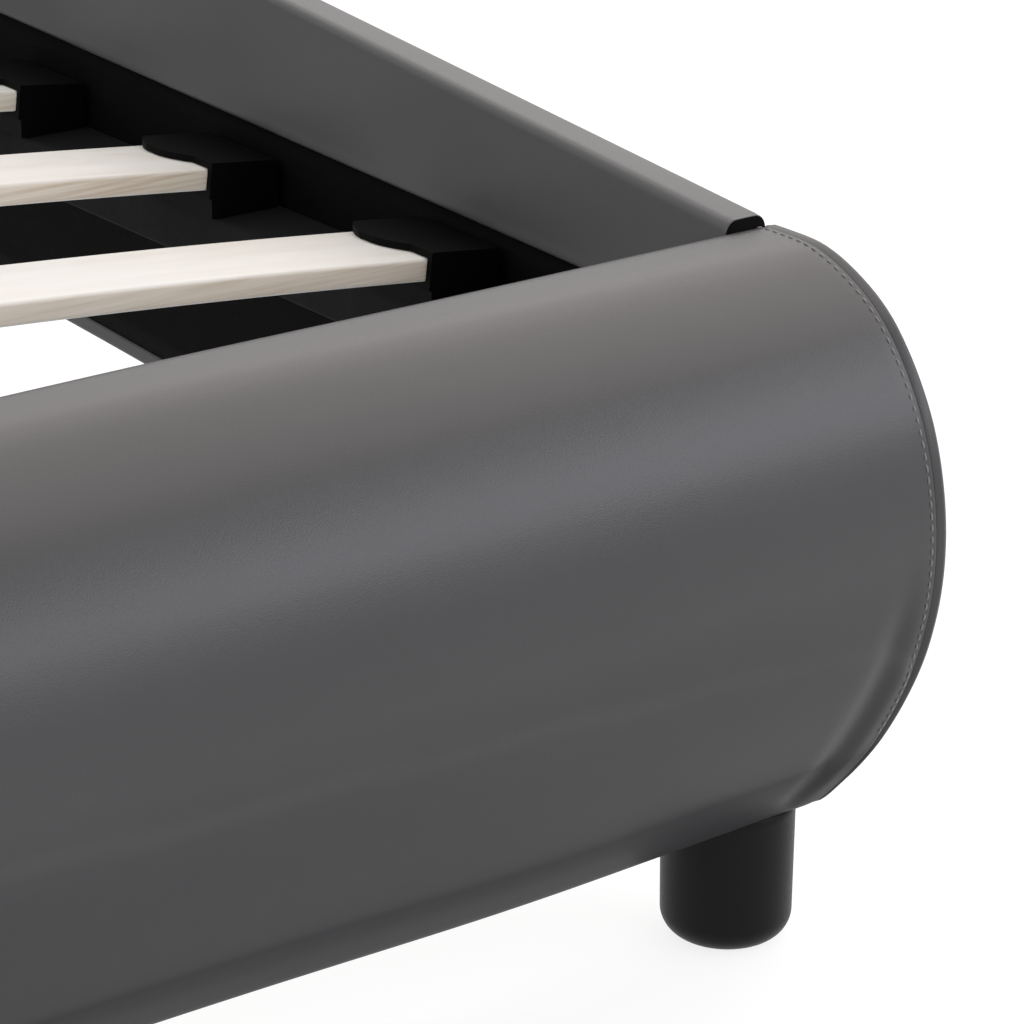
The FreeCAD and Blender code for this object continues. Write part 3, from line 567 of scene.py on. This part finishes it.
# ------------------------------------------------------------------ padded leather tubes
def covered_board(name, front, rear, inset, held_below, pressure, fullness=None):
    """Padded board with a closed section swept along X: a curved panel, two end covers, their
    seams and topstitching. held_below(points) is 1 where the leather is fixed flat, and
    fullness adds the panel's own bulges and creases."""
    loop = loop_of(front, rear)
    normals2 = outward(loop)
    open_part = 1 - held_below(loop)
    base = loop - normals2 * (inset * open_part)[:, None]
    seam_x = HALF_WIDTH - SEAM_FROM_END
    stations = graded(-seam_x, seam_x, 0.0016, 0.018)
    count = len(loop)
    grid = np.empty((len(stations), count, 3))
    grid[:, :, 0] = stations[:, None]
    grid[:, :, 1:] = base[None]
    normals = np.zeros_like(grid)
    normals[:, :, 1:] = normals2[None]
    held = np.tile((1 - open_part)[None], (len(stations), 1))
    held[0], held[-1] = 1.0, 1.0
    rise = swollen(name, grid, normals, held, pressure, inset, True)
    to_end = (HALF_WIDTH - np.abs(stations))[:, None]
    fold = -SEAM_SINK * np.exp(-((to_end - SEAM_FROM_END) / SEAM_REACH) ** 2)
    tuck = -STITCH_SINK * np.exp(-((to_end - STITCH_FROM_END) / STITCH_REACH) ** 2)
    rise = rise + (fold + tuck) * np.ones(count)[None]
    if fullness is not None:
        rise = rise + fullness(stations, loop, normals2)
    grid = grid + normals * rise[:, :, None]
    panel = piece(f"{name}_panel", grid.reshape(-1, 3), grid_faces(len(stations), count, True),
                  LEATHER_LOOK)
    subdivided(panel)
    thickened(panel, LEATHER)
    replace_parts(panel, f"{name}_cover", f"{name}_foam")
    for side_name, side in SIDES.items():
        row = grid[-1] if side > 0 else grid[0]
        end = end_cover(f"{name}_end_panel_{side_name}", row[:, 1:], normals2, len(front), side)
        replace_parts(end, f"{name}_end_{side_name}")
        near = int(np.argmin(np.abs(np.abs(stations) - (HALF_WIDTH - STITCH_FROM_END))
                             + (np.sign(stations) != side)))
        run = grid[near][:, 1:]
        path = np.vstack([run, run[:1]])
        stitches(f"{name}_topstitch_{side_name}", path, np.vstack([normals2, normals2[:1]]),
                 float(stations[near]), THREAD)
    return grid


def end_cover(name, loop, normals, front_count, side):
    """Leather end cover: a rolled rim on the seam and a slightly crowned face."""
    seam_x, end_x = HALF_WIDTH - SEAM_FROM_END, HALF_WIDTH
    rings = [(0.0012, seam_x - 0.0015), (0.0002, seam_x + 0.0002)]
    for part in (0.0, 0.12, 0.3, 0.5, 0.7, 0.86, 1.0):
        angle = part * math.pi / 2
        rings.append((RIM_RADIUS * (1 - math.cos(angle)) - RIM_PROUD,
                      end_x - RIM_RADIUS * (1 - math.sin(angle))))
    vertices = []
    count = len(loop)
    for inset, x in rings:
        flat = loop - normals * inset
        vertices += [(side * x, y, z) for y, z in flat]
    faces = grid_faces(len(rings), count, True)
    inner = loop - normals * rings[-1][0]
    last_ring = (len(rings) - 1) * count
    half = front_count - 1
    ladder = 8
    columns = []
    for j in range(1, half):
        a, b = inner[j], inner[count - j]
        inside = []
        for k in range(1, ladder):
            t = k / ladder
            point = a * (1 - t) + b * t
            nearest = min(j, half - j) / 6.0
            crown = COVER_CROWN * math.sin(math.pi * t) * min(1.0, nearest)
            inside.append(len(vertices))
            vertices.append((side * (end_x + crown), point[0], point[1]))
        columns.append([last_ring + j] + inside + [last_ring + count - j])
    for left, right in zip(columns, columns[1:]):
        faces += [(left[k], left[k + 1], right[k + 1], right[k]) for k in range(ladder)]
    faces.append(tuple([last_ring] + columns[0][::-1]))
    faces.append(tuple([last_ring + half] + columns[-1]))
    obj = piece(name, vertices, faces, LEATHER_LOOK)
    if obj.data.polygons[len(faces) // 2].normal.x * side < 0:
        obj.data.flip_normals()
    thickened(obj, LEATHER)
    return obj


# ------------------------------------------------------------------ footboard roll
lift = ROLL_ROUND * (1 - math.cos(math.pi / 4))
roll_front = trace((ROLL_BACK - lift, ROLL_TOP - lift), 135,
                   [(ROLL_ROUND, 45), ROLL_FLAT - ROLL_ROUND] + ROLL_ARCS, OUTLINE_STEP)
flat_bottom = ROLL_BACK - ROLL_ROUND - roll_front[-1][0]
roll_front = np.vstack([roll_front[:-1],
                        trace(tuple(roll_front[-1]), 0, [flat_bottom, (ROLL_ROUND, 45)],
                              OUTLINE_STEP)])
flat_back = ROLL_TOP - ROLL_LOW.z - 2 * ROLL_ROUND
roll_rear = np.vstack([trace(tuple(roll_front[-1]), 45, [(ROLL_ROUND, 45)], OUTLINE_STEP / 2)[:-1],
                       trace((ROLL_BACK, ROLL_LOW.z + ROLL_ROUND), 90, [flat_back, (ROLL_ROUND, 45)],
                             OUTLINE_STEP)])[::-1]
ROLL_POINTS = 84
roll_front = resampled(softened(roll_front), ROLL_POINTS)
roll_rear = resampled(roll_rear, ROLL_POINTS)
roll_rear[0], roll_rear[-1] = roll_front[0], roll_front[-1]


def roll_held(points):
    """The roll's leather lies flat on its back and over the two battens."""
    from_back = ease(ROLL_BACK - points[:, 0], 0.036, 0.060)
    above_toe = ease(points[:, 1], ROLL_LOW.z + 0.002, ROLL_LOW.z + 0.022)
    return 1 - from_back * above_toe


# How far the stuffing pushes the roll's leather out, by the direction that it faces in degrees:
# 180 back, 90 up, 0 to the front, -90 down.
STUFFING = [(-90, 0.0), (-60, 0.0004), (-45, 0.0010), (-35, 0.0018), (-15, 0.0010), (0, 0.0014),
            (12, 0.0018), (25, 0.0027), (45, 0.0028), (62, 0.0014), (90, 0.0012), (135, 0.0)]
# Slack along the top and under the front: height, distance of its middle from the end, spread
# along the roll, and the four facings between which it grows, holds and fades.
SWELL = (0.0012, 0.34, 0.12, (45, 75, 105, 150))
SAG = (0.0022, 0.19, 0.11, (-88, -75, -40, -10))
# Crease beside the end seams: depth, half width, distance from the end at its top, and how much
# further from the end it lies near the floor. A low ridge runs between it and the seam.
CREASE_DEPTH, CREASE_WIDTH, CREASE_FROM_END, CREASE_DRIFT = 0.0032, 0.0064, 0.0215, 0.010
RIDGE_HEIGHT, RIDGE_WIDTH, RIDGE_FROM_CREASE = 0.0006, 0.0040, 0.0100


def local_swell(to_end, facing, height, middle, spread, facings):
    """Low swelling round one place along the roll, between the given facings."""
    along = height * np.exp(-((to_end - middle) / spread) ** 2)
    return along[:, None] * np.interp(facing, facings, [0, 1, 1, 0])[None]


def roll_fullness(stations, loop, normals):
    """Stuffing, slack on the top and beside the corners below, and a soft crease beside the end
    seams on the lower half."""
    facing = np.degrees(np.arctan2(normals[:, 1], -normals[:, 0]))
    stuffing = np.interp(facing, *zip(*STUFFING), left=0.0, right=0.0)
    height = loop[:, 1]
    lower = ease(-height, -0.235, -0.150) * ease(height, ROLL_LOW.z + 0.004, ROLL_LOW.z + 0.030)
    to_end = HALF_WIDTH - np.abs(stations)
    drift = CREASE_DRIFT * ease(-height, -0.260, -0.070)
    distance = to_end[:, None] - (CREASE_FROM_END + drift)[None]
    valley = -CREASE_DEPTH * np.exp(-(distance / CREASE_WIDTH) ** 2)
    ridge = RIDGE_HEIGHT * np.exp(-((distance + RIDGE_FROM_CREASE) / RIDGE_WIDTH) ** 2)
    loose = local_swell(to_end, facing, *SWELL) + local_swell(to_end, facing, *SAG)
    return stuffing[None] + loose + (valley + ridge) * lower[None]


PRESSURE = 4.0
roll_skin = covered_board("footboard", roll_front, roll_rear, ROLL_INSET, roll_held, PRESSURE,
                          roll_fullness)

# ------------------------------------------------------------------ headboard
lean_radius, lean_turn = HEAD_LEAN
scroll_radius, scroll_turn = HEAD_SCROLL
head_middle = (HEAD_FRONT + HEAD_THICK / 2, FRAME_LOW)
head_front = trace(head_middle, 180,
                   [HEAD_THICK / 2 - HEAD_ROUND, (HEAD_ROUND, -90), HEAD_STRAIGHT - HEAD_ROUND,
                    (lean_radius, -lean_turn), (scroll_radius, -scroll_turn), (HEAD_THICK / 2, -90)],
                   OUTLINE_STEP)
head_rear = trace(tuple(head_front[-1]), -lean_turn - scroll_turn,
                  [(HEAD_THICK / 2, -90), (scroll_radius - HEAD_THICK, scroll_turn),
                   (lean_radius - HEAD_THICK, lean_turn), HEAD_STRAIGHT - HEAD_ROUND,
                   (HEAD_ROUND, -90), HEAD_THICK / 2 - HEAD_ROUND], OUTLINE_STEP)[::-1]
HEAD_POINTS = 150
head_front = resampled(smoothed(head_front, OUTLINE_BLUR, False), HEAD_POINTS)
head_rear = resampled(smoothed(head_rear, OUTLINE_BLUR, False), HEAD_POINTS)
head_rear[0], head_rear[-1] = head_front[0], head_front[-1]


def head_held(points):
    """The headboard's leather is stapled under its bottom edge."""
    return 1 - ease(points[:, 1], FRAME_LOW + 0.004, FRAME_LOW + 0.035)


covered_board("headboard", head_front, head_rear, HEAD_INSET, head_held, PRESSURE)


# ------------------------------------------------------------------ side rails
rail_length = RAIL_HIGH.y - RAIL_LOW.y
bend_y = RAIL_LOW.y + RAIL_STRAIGHT * math.cos(RAIL_SLOPE)
bend_z = RAIL_START_TOP + RAIL_STRAIGHT * math.sin(RAIL_SLOPE)
sweep_y = bend_y - RAIL_SWEEP * math.sin(RAIL_SLOPE)
sweep_z = bend_z + RAIL_SWEEP * math.cos(RAIL_SLOPE)
arch_radius = rail_length ** 2 / (8 * RAIL_ARCH) + RAIL_ARCH / 2


def rail_top(y):
    if y < bend_y:
        return RAIL_START_TOP + (y - RAIL_LOW.y) * math.tan(RAIL_SLOPE)
    return sweep_z - math.sqrt(RAIL_SWEEP ** 2 - (y - sweep_y) ** 2)


def rail_bottom(y):
    middle = (RAIL_LOW.y + RAIL_HIGH.y) / 2
    return RAIL_BOTTOM + RAIL_ARCH - arch_radius + math.sqrt(arch_radius ** 2 - (y - middle) ** 2)


SMALL_ROUND = 0.0022                # lower edges of the rails and edges of the ledges
# The leather's edge on the inner face is folded under: (inwards, up) from the edge's line.
EDGE_FOLD = [(0.0036, 0.0002), (0.0012, -0.0008), (0.0, 0.0015)]
OUTER_COLUMN, UNDERSIDE_COLUMNS = 40, 17    # a point of the outer face, and points under the rail
RAIL_INSET = 0.0007                 # the bare skin starts this far inside, and swells back out
END_TUCK, END_TUCK_REACH = 0.0007, 0.003    # the rail's end drawn in beside the roll


def quarter(x, z, radius, first, steps, parts):
    """Points of a quarter turn round (x, z), clockwise from the angle `first`."""
    angles = [first - math.pi / 2 * k / parts for k in steps]
    return [(x + radius * math.cos(angle), z + radius * math.sin(angle)) for angle in angles]


def rail_section(y):
    """Open outline of a rail's leather at y, from its edge on the inner face, over the top,
    down the outer face and round the bottom, as (x, z) points."""
    edge = LEATHER_EDGE + LEATHER_EDGE_RISE * (y - ROLL_BACK)
    shoulder, low = rail_top(y) - RAIL_ROUND, rail_bottom(y)
    inner, outer, board = RAIL_LOW.x, RAIL_HIGH.x, LINING_LOW.x
    small = SMALL_ROUND
    points = [(inner + x, edge + z) for x, z in EDGE_FOLD]
    start = points[-1][1]
    points += [(inner, start + (shoulder - start) * k / 14) for k in range(1, 15)]
    points += quarter(inner + RAIL_ROUND, shoulder, RAIL_ROUND, math.pi, range(1, 9), 8)
    points += quarter(outer - RAIL_ROUND, shoulder, RAIL_ROUND, math.pi / 2, range(9), 8)
    points += [(outer, shoulder - (shoulder - low - small) * k / 26) for k in range(1, 27)]
    points += quarter(outer - small, low + small, small, 0.0, range(1, 5), 4)
    points += [(outer - small - (outer - 2 * small - board) * k / 6, low) for k in range(1, 7)]
    points += quarter(board + small, low + small, small, -math.pi / 2, range(1, 5), 4)
    points += [(board, low + WRAP_STRIP * k / 3) for k in range(1, 4)]
    return np.array(points)


def folded_end(row, direction):
    """The end section drawn in a little and out past the board's end, to close the rail."""
    folded = row.copy()
    middle = row.mean(axis=1, keepdims=True)
    folded[:, :, 0] += np.clip(middle[:, :, 0] - row[:, :, 0], -FOLD_IN, FOLD_IN)
    folded[:, :, 2] += np.clip(middle[:, :, 2] - row[:, :, 2], -FOLD_IN, FOLD_IN)
    folded[:, :, 1] += direction * FOLD_OUT
    return folded


def rail_cover(name, side):
    """Leather of one rail, padded on both faces and folded in at its two ends, where black cloth
    closes it inside a sharp rim. The black of these end lids is a painted shadow for the dark gap
    between the rail's end and the roll."""
    stations = graded(RAIL_LOW.y, RAIL_HIGH.y, 0.0012, 0.030, 1.35)
    grid = []
    for y in stations:
        section = rail_section(float(y))
        to_end = min(y - RAIL_LOW.y, RAIL_HIGH.y - y)
        tuck = END_TUCK * max(0.0, 1 - to_end / END_TUCK_REACH) ** 2
        middle = (RAIL_LOW.x + RAIL_HIGH.x) / 2
        shift = np.clip((middle - section[:, 0]) / 0.013, -1, 1) * tuck
        grid.append([(side * (x + s), y, z - tuck * 0.9 * (z > rail_top(y) - 0.012))
                     for (x, z), s in zip(section, shift)])
    grid = np.array(grid)
    rows, columns = grid.shape[:2]
    along = np.gradient(grid, axis=0)
    across = np.gradient(grid, axis=1)
    normals = np.cross(along, across)
    normals /= np.linalg.norm(normals, axis=2)[:, :, None] + 1e-12
    if normals[rows // 2, OUTER_COLUMN, 0] * side < 0:
        normals = -normals
    held = np.zeros((rows, columns))
    held[0], held[-1] = 1, 1
    held[:, :len(EDGE_FOLD)], held[:, -UNDERSIDE_COLUMNS:] = 1, 1
    rise = swollen(name, grid - normals * RAIL_INSET, normals, held, PRESSURE, RAIL_INSET, False)
    grid = grid - normals * (RAIL_INSET * (1 - held))[:, :, None] + normals * rise[:, :, None]
    grid = np.concatenate([folded_end(grid[:1], -1), grid, folded_end(grid[-1:], 1)])
    rows += 2
    faces = grid_faces(rows, columns, False)
    faces += [tuple(range(columns)), tuple(range((rows - 1) * columns, rows * columns))]
    obj = piece(name, grid.reshape(-1, 3), faces, RAIL_LEATHER_PAINTED_LIGHT)
    # Painted shadow: the two end lids take the black cloth to stand in for the dark gap beside the roll.
    obj.data.materials.append(LINING_AND_SHADE_LOOK)
    for lid in obj.data.polygons[-2:]:
        lid.material_index = 1
    rim = {row * columns + k for row in (0, rows - 1) for k in range(columns)}
    crease = obj.data.attributes.new("crease_edge", "FLOAT", "EDGE")
    crease.data.foreach_set("value", [float(rim.issuperset(edge.vertices)) for edge in obj.data.edges])
    if obj.data.polygons[(rows // 2) * (columns - 1) + OUTER_COLUMN].normal.x * side < 0:
        obj.data.flip_normals()
    subdivided(obj)
    thickened(obj, LEATHER)
    return obj


def lining(name, side):
    """Black cloth stapled flat over a rail's inner face, slightly slack between its staples. Its colour
    is darkened past the cloth's own black as painted shade of the well inside the rail.
    """
    rows, columns = 170, 13
    rng = np.random.default_rng(17)
    ripple = smoothed(rng.normal(size=(rows, 1)), 2.2, False)[:, 0]
    vertices = []
    area = 0.0
    for r in range(rows):
        y = RAIL_LOW.y + 0.001 + (rail_length - 0.002) * r / (rows - 1)
        low = rail_bottom(y) + WRAP_STRIP - LINING_TUCK
        high = LEATHER_EDGE + LEATHER_EDGE_RISE * (y - ROLL_BACK) + LINING_TUCK
        area += (high - low) * (rail_length - 0.002) / (rows - 1) * (0.5 if r in (0, rows - 1) else 1)
        for c in range(columns):
            t = c / (columns - 1)
            slack = 0.0004 * ripple[r] * math.sin(math.pi * t)
            vertices.append((side * (LINING_LOW.x + 0.0003 - max(0.0, slack)), y, low + (high - low) * t))
    obj = piece(name, vertices, grid_faces(rows, columns, False), LINING_AND_SHADE_LOOK)
    if obj.data.polygons[0].normal.x * side > 0:
        obj.data.flip_normals()
    thickened(obj, LINING_HIGH.x - LINING_LOW.x - 0.0001)
    width = LEATHER_EDGE + LEATHER_EDGE_RISE * (RAIL_HIGH.y - ROLL_BACK) - RAIL_BOTTOM - WRAP_STRIP
    width += 2 * LINING_TUCK
    return obj, (width, rail_length - 0.002), area


def ledge(name, side):
    """Batten wrapped in black cloth, its folds drawn tight round the edges."""
    rng = np.random.default_rng(41 + side)
    small = SMALL_ROUND
    low_x, high_x = LEDGE_LOW.x, LEDGE_HIGH.x
    low_z, high_z = LEDGE_LOW.z, LEDGE_HIGH.z
    corners = [(low_x + small, low_z + small, math.pi), (high_x - small, low_z + small, 1.5 * math.pi),
               (high_x - small, high_z - small, 0.0), (low_x + small, high_z - small, 0.5 * math.pi)]
    section = []
    for x, z, first in corners:
        section += [(x + small * math.cos(first + math.pi / 2 * k / 4),
                     z + small * math.sin(first + math.pi / 2 * k / 4)) for k in range(5)]
    fine = []
    for (x0, z0), (x1, z1) in zip(section, section[1:] + section[:1]):
        parts = max(1, round(math.hypot(x1 - x0, z1 - z0) / 0.0035))
        fine += [(x0 + (x1 - x0) * k / parts, z0 + (z1 - z0) * k / parts) for k in range(parts)]
    fine = np.array(fine)
    normals = outward(fine)
    rows = 420
    ys = np.linspace(LEDGE_LOW.y, LEDGE_HIGH.y, rows)
    streak = smoothed(rng.normal(size=(rows, 1)), 1.3, False)[:, 0]
    folds = np.zeros(rows)
    for _ in range(46):
        centre, width = rng.uniform(ys[0], ys[-1]), rng.uniform(0.003, 0.008)
        folds += rng.uniform(0.3, 1.0) * np.exp(-((ys - centre) / width) ** 2)
    height = (fine[:, 1] - low_z) / (high_z - low_z)
    front = ease(-normals[:, 0], 0.2, 0.9) * np.sin(np.pi * np.clip(height, 0, 1)) ** 0.5
    vertices = []
    for r, y in enumerate(ys):
        lean = 0.35 * streak[r]
        push = front * (0.0004 * streak[r] + 0.0009 * folds[r]) - 0.0004
        flat = fine + normals * push[:, None]
        vertices += [(side * x, y + 0.004 * lean * h, z) for (x, z), h in zip(flat, height)]
    columns = len(fine)
    faces = grid_faces(rows, columns, True)
    faces.append(tuple(range(columns)))
    faces.append(tuple(range((rows - 1) * columns, rows * columns)))
    return piece(name, vertices, faces, WRAP_LOOK)


for side_name, side in SIDES.items():
    cover = rail_cover(f"rail_leather_{side_name}", side)
    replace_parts(cover, f"rail_cover_{side_name}", f"rail_foam_{side_name}")
    cloth, flat_size, cloth_area = lining(f"rail_cloth_{side_name}", side)
    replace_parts(cloth, f"rail_lining_{side_name}")
    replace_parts(ledge(f"wrapped_ledge_{side_name}", side), f"slat_ledge_{side_name}")


# ------------------------------------------------------------------ slats
def rounded_bar(width, height, radius, per_corner=4):
    """Outline of a rectangle with rounded corners, its top face at 0."""
    half, low = width / 2 - radius, radius - height
    corners = [(half, -radius, 0.0), (-half, -radius, 0.5 * math.pi),
               (-half, low, math.pi), (half, low, 1.5 * math.pi)]
    return [(y + radius * math.cos(first + math.pi / 2 * k / per_corner),
             z + radius * math.sin(first + math.pi / 2 * k / per_corner))
            for y, z, first in corners for k in range(per_corner + 1)]


def slat(name, low_x, high_x, y_centre):
    """One bowed slat between two x planes: a rounded bar along a shallow arc."""
    chord = high_x - low_x
    radius = chord ** 2 / (8 * SLAT_CAMBER) + SLAT_CAMBER / 2
    tilt = math.asin(chord / 2 / radius)
    centre_x, centre_z = (low_x + high_x) / 2, SLAT_END_TOP - radius * math.cos(tilt)
    bar = rounded_bar(SLAT_WIDTH, SLAT_THICK, SLAT_ROUND)
    stations = np.r_[-1, -0.999, np.linspace(-0.995, 0.995, 81), 0.999, 1]
    vertices = []
    for part in stations:
        shrink = 0.0008 if abs(part) == 1 else 0.0
        for y, depth in bar:
            y = y - math.copysign(shrink, y)
            depth = depth + (shrink if depth < -SLAT_THICK / 2 else -shrink)
            reach = radius + depth
            vertices.append((centre_x + reach * math.sin(part * tilt), y_centre + y,
                             centre_z + reach * math.cos(part * tilt)))
    count = len(bar)
    faces = grid_faces(len(stations), count, True)
    faces.append(tuple(range(count)))
    faces.append(tuple(range((len(stations) - 1) * count, len(stations) * count)))
    return piece(name, vertices, faces, SLAT_LOOK)


for node in sorted(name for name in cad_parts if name.startswith("slat_") and name[5:].isdigit()):
    low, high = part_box(node)
    bow = slat(node.replace("slat", "bent_slat"), low.x, high.x, (low.y + high.y) / 2)
    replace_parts(bow, node)


# ------------------------------------------------------------------ corner legs
LEG_TOP_RADIUS, LEG_LOW_RADIUS, LEG_ROUND, LEG_EDGE = 0.0325, 0.032, 0.014, 0.0008
LEG_BORE, LEG_BORE_LOW = 0.0043, 0.038
LEG_SECTORS = 96
leg_low, leg_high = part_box("leg_foot_right")
over_leg = roll_skin[int(np.argmin(np.abs(roll_skin[:, 0, 0] - (leg_low.x + leg_high.x) / 2))), :, 1:]
over_leg = over_leg[int(np.argmin(over_leg[:, 0])):len(roll_front)]


def roll_underside(y):
    """Height of the roll's curved underside at y, a little inside its leather."""
    return float(np.interp(y, over_leg[:, 0], over_leg[:, 1])) + 0.0012


def corner_leg(name, x, y, coped):
    """Turned leg about the vertical through (x, y), its top flat or fitted to the roll."""
    taper = (LEG_TOP_RADIUS - LEG_LOW_RADIUS) / (FRAME_LOW - LEG_ROUND)
    rounding = [(LEG_LOW_RADIUS - LEG_ROUND * (1 - math.sin(a)), LEG_ROUND * (1 - math.cos(a)))
                for a in np.linspace(0, math.pi / 2, 14)]
    shaft = [(LEG_LOW_RADIUS + taper * z, LEG_ROUND + z)
             for z in np.linspace(0.008, FRAME_LOW - LEG_EDGE - LEG_ROUND, 6)]
    lower = [(0.010, 0.0), (LEG_LOW_RADIUS - LEG_ROUND - 0.002, 0.0)] + rounding + shaft
    upper = [(LEG_TOP_RADIUS, 0.0), (LEG_TOP_RADIUS - LEG_EDGE, LEG_EDGE / 2)]
    upper += [(r, LEG_EDGE / 2) for r in (0.026, 0.018, 0.010, LEG_BORE)]
    vertices = []
    for radius, z in lower:
        vertices += [(x + radius * math.cos(a), y + radius * math.sin(a), z) for a in leg_angles]
    for radius, rise in upper:
        for a in leg_angles:
            at_y = y + radius * math.sin(a)
            top = max(FRAME_LOW, roll_underside(at_y)) if coped else FRAME_LOW
            vertices.append((x + radius * math.cos(a), at_y, top - LEG_EDGE / 2 + rise))
    vertices += [(x + LEG_BORE * math.cos(a), y + LEG_BORE * math.sin(a), LEG_BORE_LOW)
                 for a in leg_angles]
    rings = len(lower) + len(upper) + 1
    faces = grid_faces(rings, LEG_SECTORS, True)
    faces.append(tuple(range(LEG_SECTORS)))
    faces.append(tuple(range((rings - 1) * LEG_SECTORS, rings * LEG_SECTORS)))
    return piece(name, vertices, faces, LEG_LOOK)


leg_angles = [2 * math.pi * k / LEG_SECTORS for k in range(LEG_SECTORS)]
for end in ("foot", "head"):
    for side_name in SIDES:
        node = f"leg_{end}_{side_name}"
        low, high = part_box(node)
        turned = corner_leg(f"turned_{node}", (low.x + high.x) / 2, (low.y + high.y) / 2, end == "foot")
        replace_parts(turned, node)


# ------------------------------------------------------------------ finish of the CAD nodes that stay
KEPT = [
    (("slat_holders_left", "slat_holders_right"), HOLDER_LOOK, 0.0008),
    (("centre_beam_hangers", "centre_leg_1", "centre_leg_2"), STEEL_LOOK, 0.0008),
    (("levelling_foot_1", "levelling_foot_2"), FOOT_LOOK, 0.0004),
    (("corner_brackets", "corner_bolts", "corner_inserts", "leg_bolts", "ledge_screws"), ZINC_LOOK, 0.0003),
    (("footboard_back_panel", "footboard_bent_ply", "footboard_former_1", "footboard_former_2",
      "footboard_former_3", "footboard_former_4", "headboard_bent_ply", "headboard_upright_left",
      "headboard_upright_middle", "headboard_upright_right", "rail_board_left", "rail_board_right"),
     PLY_LOOK, 0.0),
    (("footboard_toe_batten", "footboard_top_batten", "headboard_sill"), PINE_LOOK, 0.0),
    (("centre_beam",), PINE_LOOK, 0.002),
]
for names, look, bevel in KEPT:
    for name in names:
        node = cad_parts[name]
        node.data.materials.clear()
        node.data.materials.append(look)
        if bevel:
            edges = node.modifiers.new("edges", "BEVEL")
            edges.width = bevel
            edges.segments = 2
            edges.limit_method = "ANGLE"
            edges.angle_limit = math.radians(40)
            edges.harden_normals = False

# ------------------------------------------------------------------ floor, light and camera
floor_mesh = bpy.data.meshes.new("studio_floor")
reach = 14.0
floor_mesh.from_pydata([(-reach, -reach, 0), (reach, -reach, 0), (reach, reach, 0), (-reach, reach, 0)], [],
                       [(0, 1, 2, 3)])
floor = bpy.data.objects.new("studio_floor", floor_mesh)
bpy.context.scene.collection.objects.link(floor)
floor.data.materials.append(floor_material())


def softbox(name, place, aim, wide, high, power, colour):
    light = bpy.data.lights.new(name, "AREA")
    light.shape = "RECTANGLE"
    light.size, light.size_y = wide, high
    light.energy = power
    light.color = colour
    obj = bpy.data.objects.new(name, light)
    bpy.context.scene.collection.objects.link(obj)
    obj.location = place
    obj.rotation_euler = (Vector(aim) - Vector(place)).to_track_quat("-Z", "Y").to_euler()
    return obj


softbox("overhead_softbox", (2.9, 1.1, 2.7), (2.9, 1.1, 0.0), 5.2, 6.8, 120.0, (1.0, 0.90, 0.84))
softbox("front_softbox", (1.95, -2.89, 1.40), (0.55, -1.2, 0.2), 3.0, 1.0, 23.0, (0.90, 0.90, 1.0))
softbox("left_softbox", (-3.5, -0.6, 1.7), (0.6, -0.8, 0.3), 2.5, 2.5, 32.0, (1.0, 1.0, 1.0))

world = bpy.data.worlds.new("studio")
bpy.context.scene.world = world
world.use_nodes = True
world.node_tree.nodes["Background"].inputs["Color"].default_value = (1, 1, 1, 1)
world.node_tree.nodes["Background"].inputs["Strength"].default_value = 1.0
bpy.context.scene.view_settings.view_transform = "Standard"

CAMERA_PLACE = Vector((HALF_WIDTH - 1.16537, ROLL_BACK - 1.34734, 0.88178))
CAMERA_AZIMUTH, CAMERA_ELEVATION, CAMERA_ROLL = (math.radians(v) for v in (-36.916, 20.881, 0.138))
CAMERA_LENS, CAMERA_SHIFT = 140.5577, (0.0053623, 0.0008965)
back = Vector((math.sin(CAMERA_AZIMUTH) * math.cos(CAMERA_ELEVATION),
               -math.cos(CAMERA_AZIMUTH) * math.cos(CAMERA_ELEVATION), math.sin(CAMERA_ELEVATION)))
right = Vector((math.cos(CAMERA_AZIMUTH), math.sin(CAMERA_AZIMUTH), 0))
up = back.cross(right)
rolled_right = right * math.cos(CAMERA_ROLL) + up * math.sin(CAMERA_ROLL)
rolled_up = up * math.cos(CAMERA_ROLL) - right * math.sin(CAMERA_ROLL)
camera_data = bpy.data.cameras.new("camera")
camera_data.sensor_width = 36.0
camera_data.lens = CAMERA_LENS
camera_data.shift_x, camera_data.shift_y = CAMERA_SHIFT
camera_data.clip_end = 100.0
camera = bpy.data.objects.new("camera", camera_data)
bpy.context.scene.collection.objects.link(camera)
camera_turn = Matrix((rolled_right, rolled_up, back)).transposed().to_4x4()
camera.matrix_world = Matrix.Translation(CAMERA_PLACE) @ camera_turn
bpy.context.scene.camera = camera
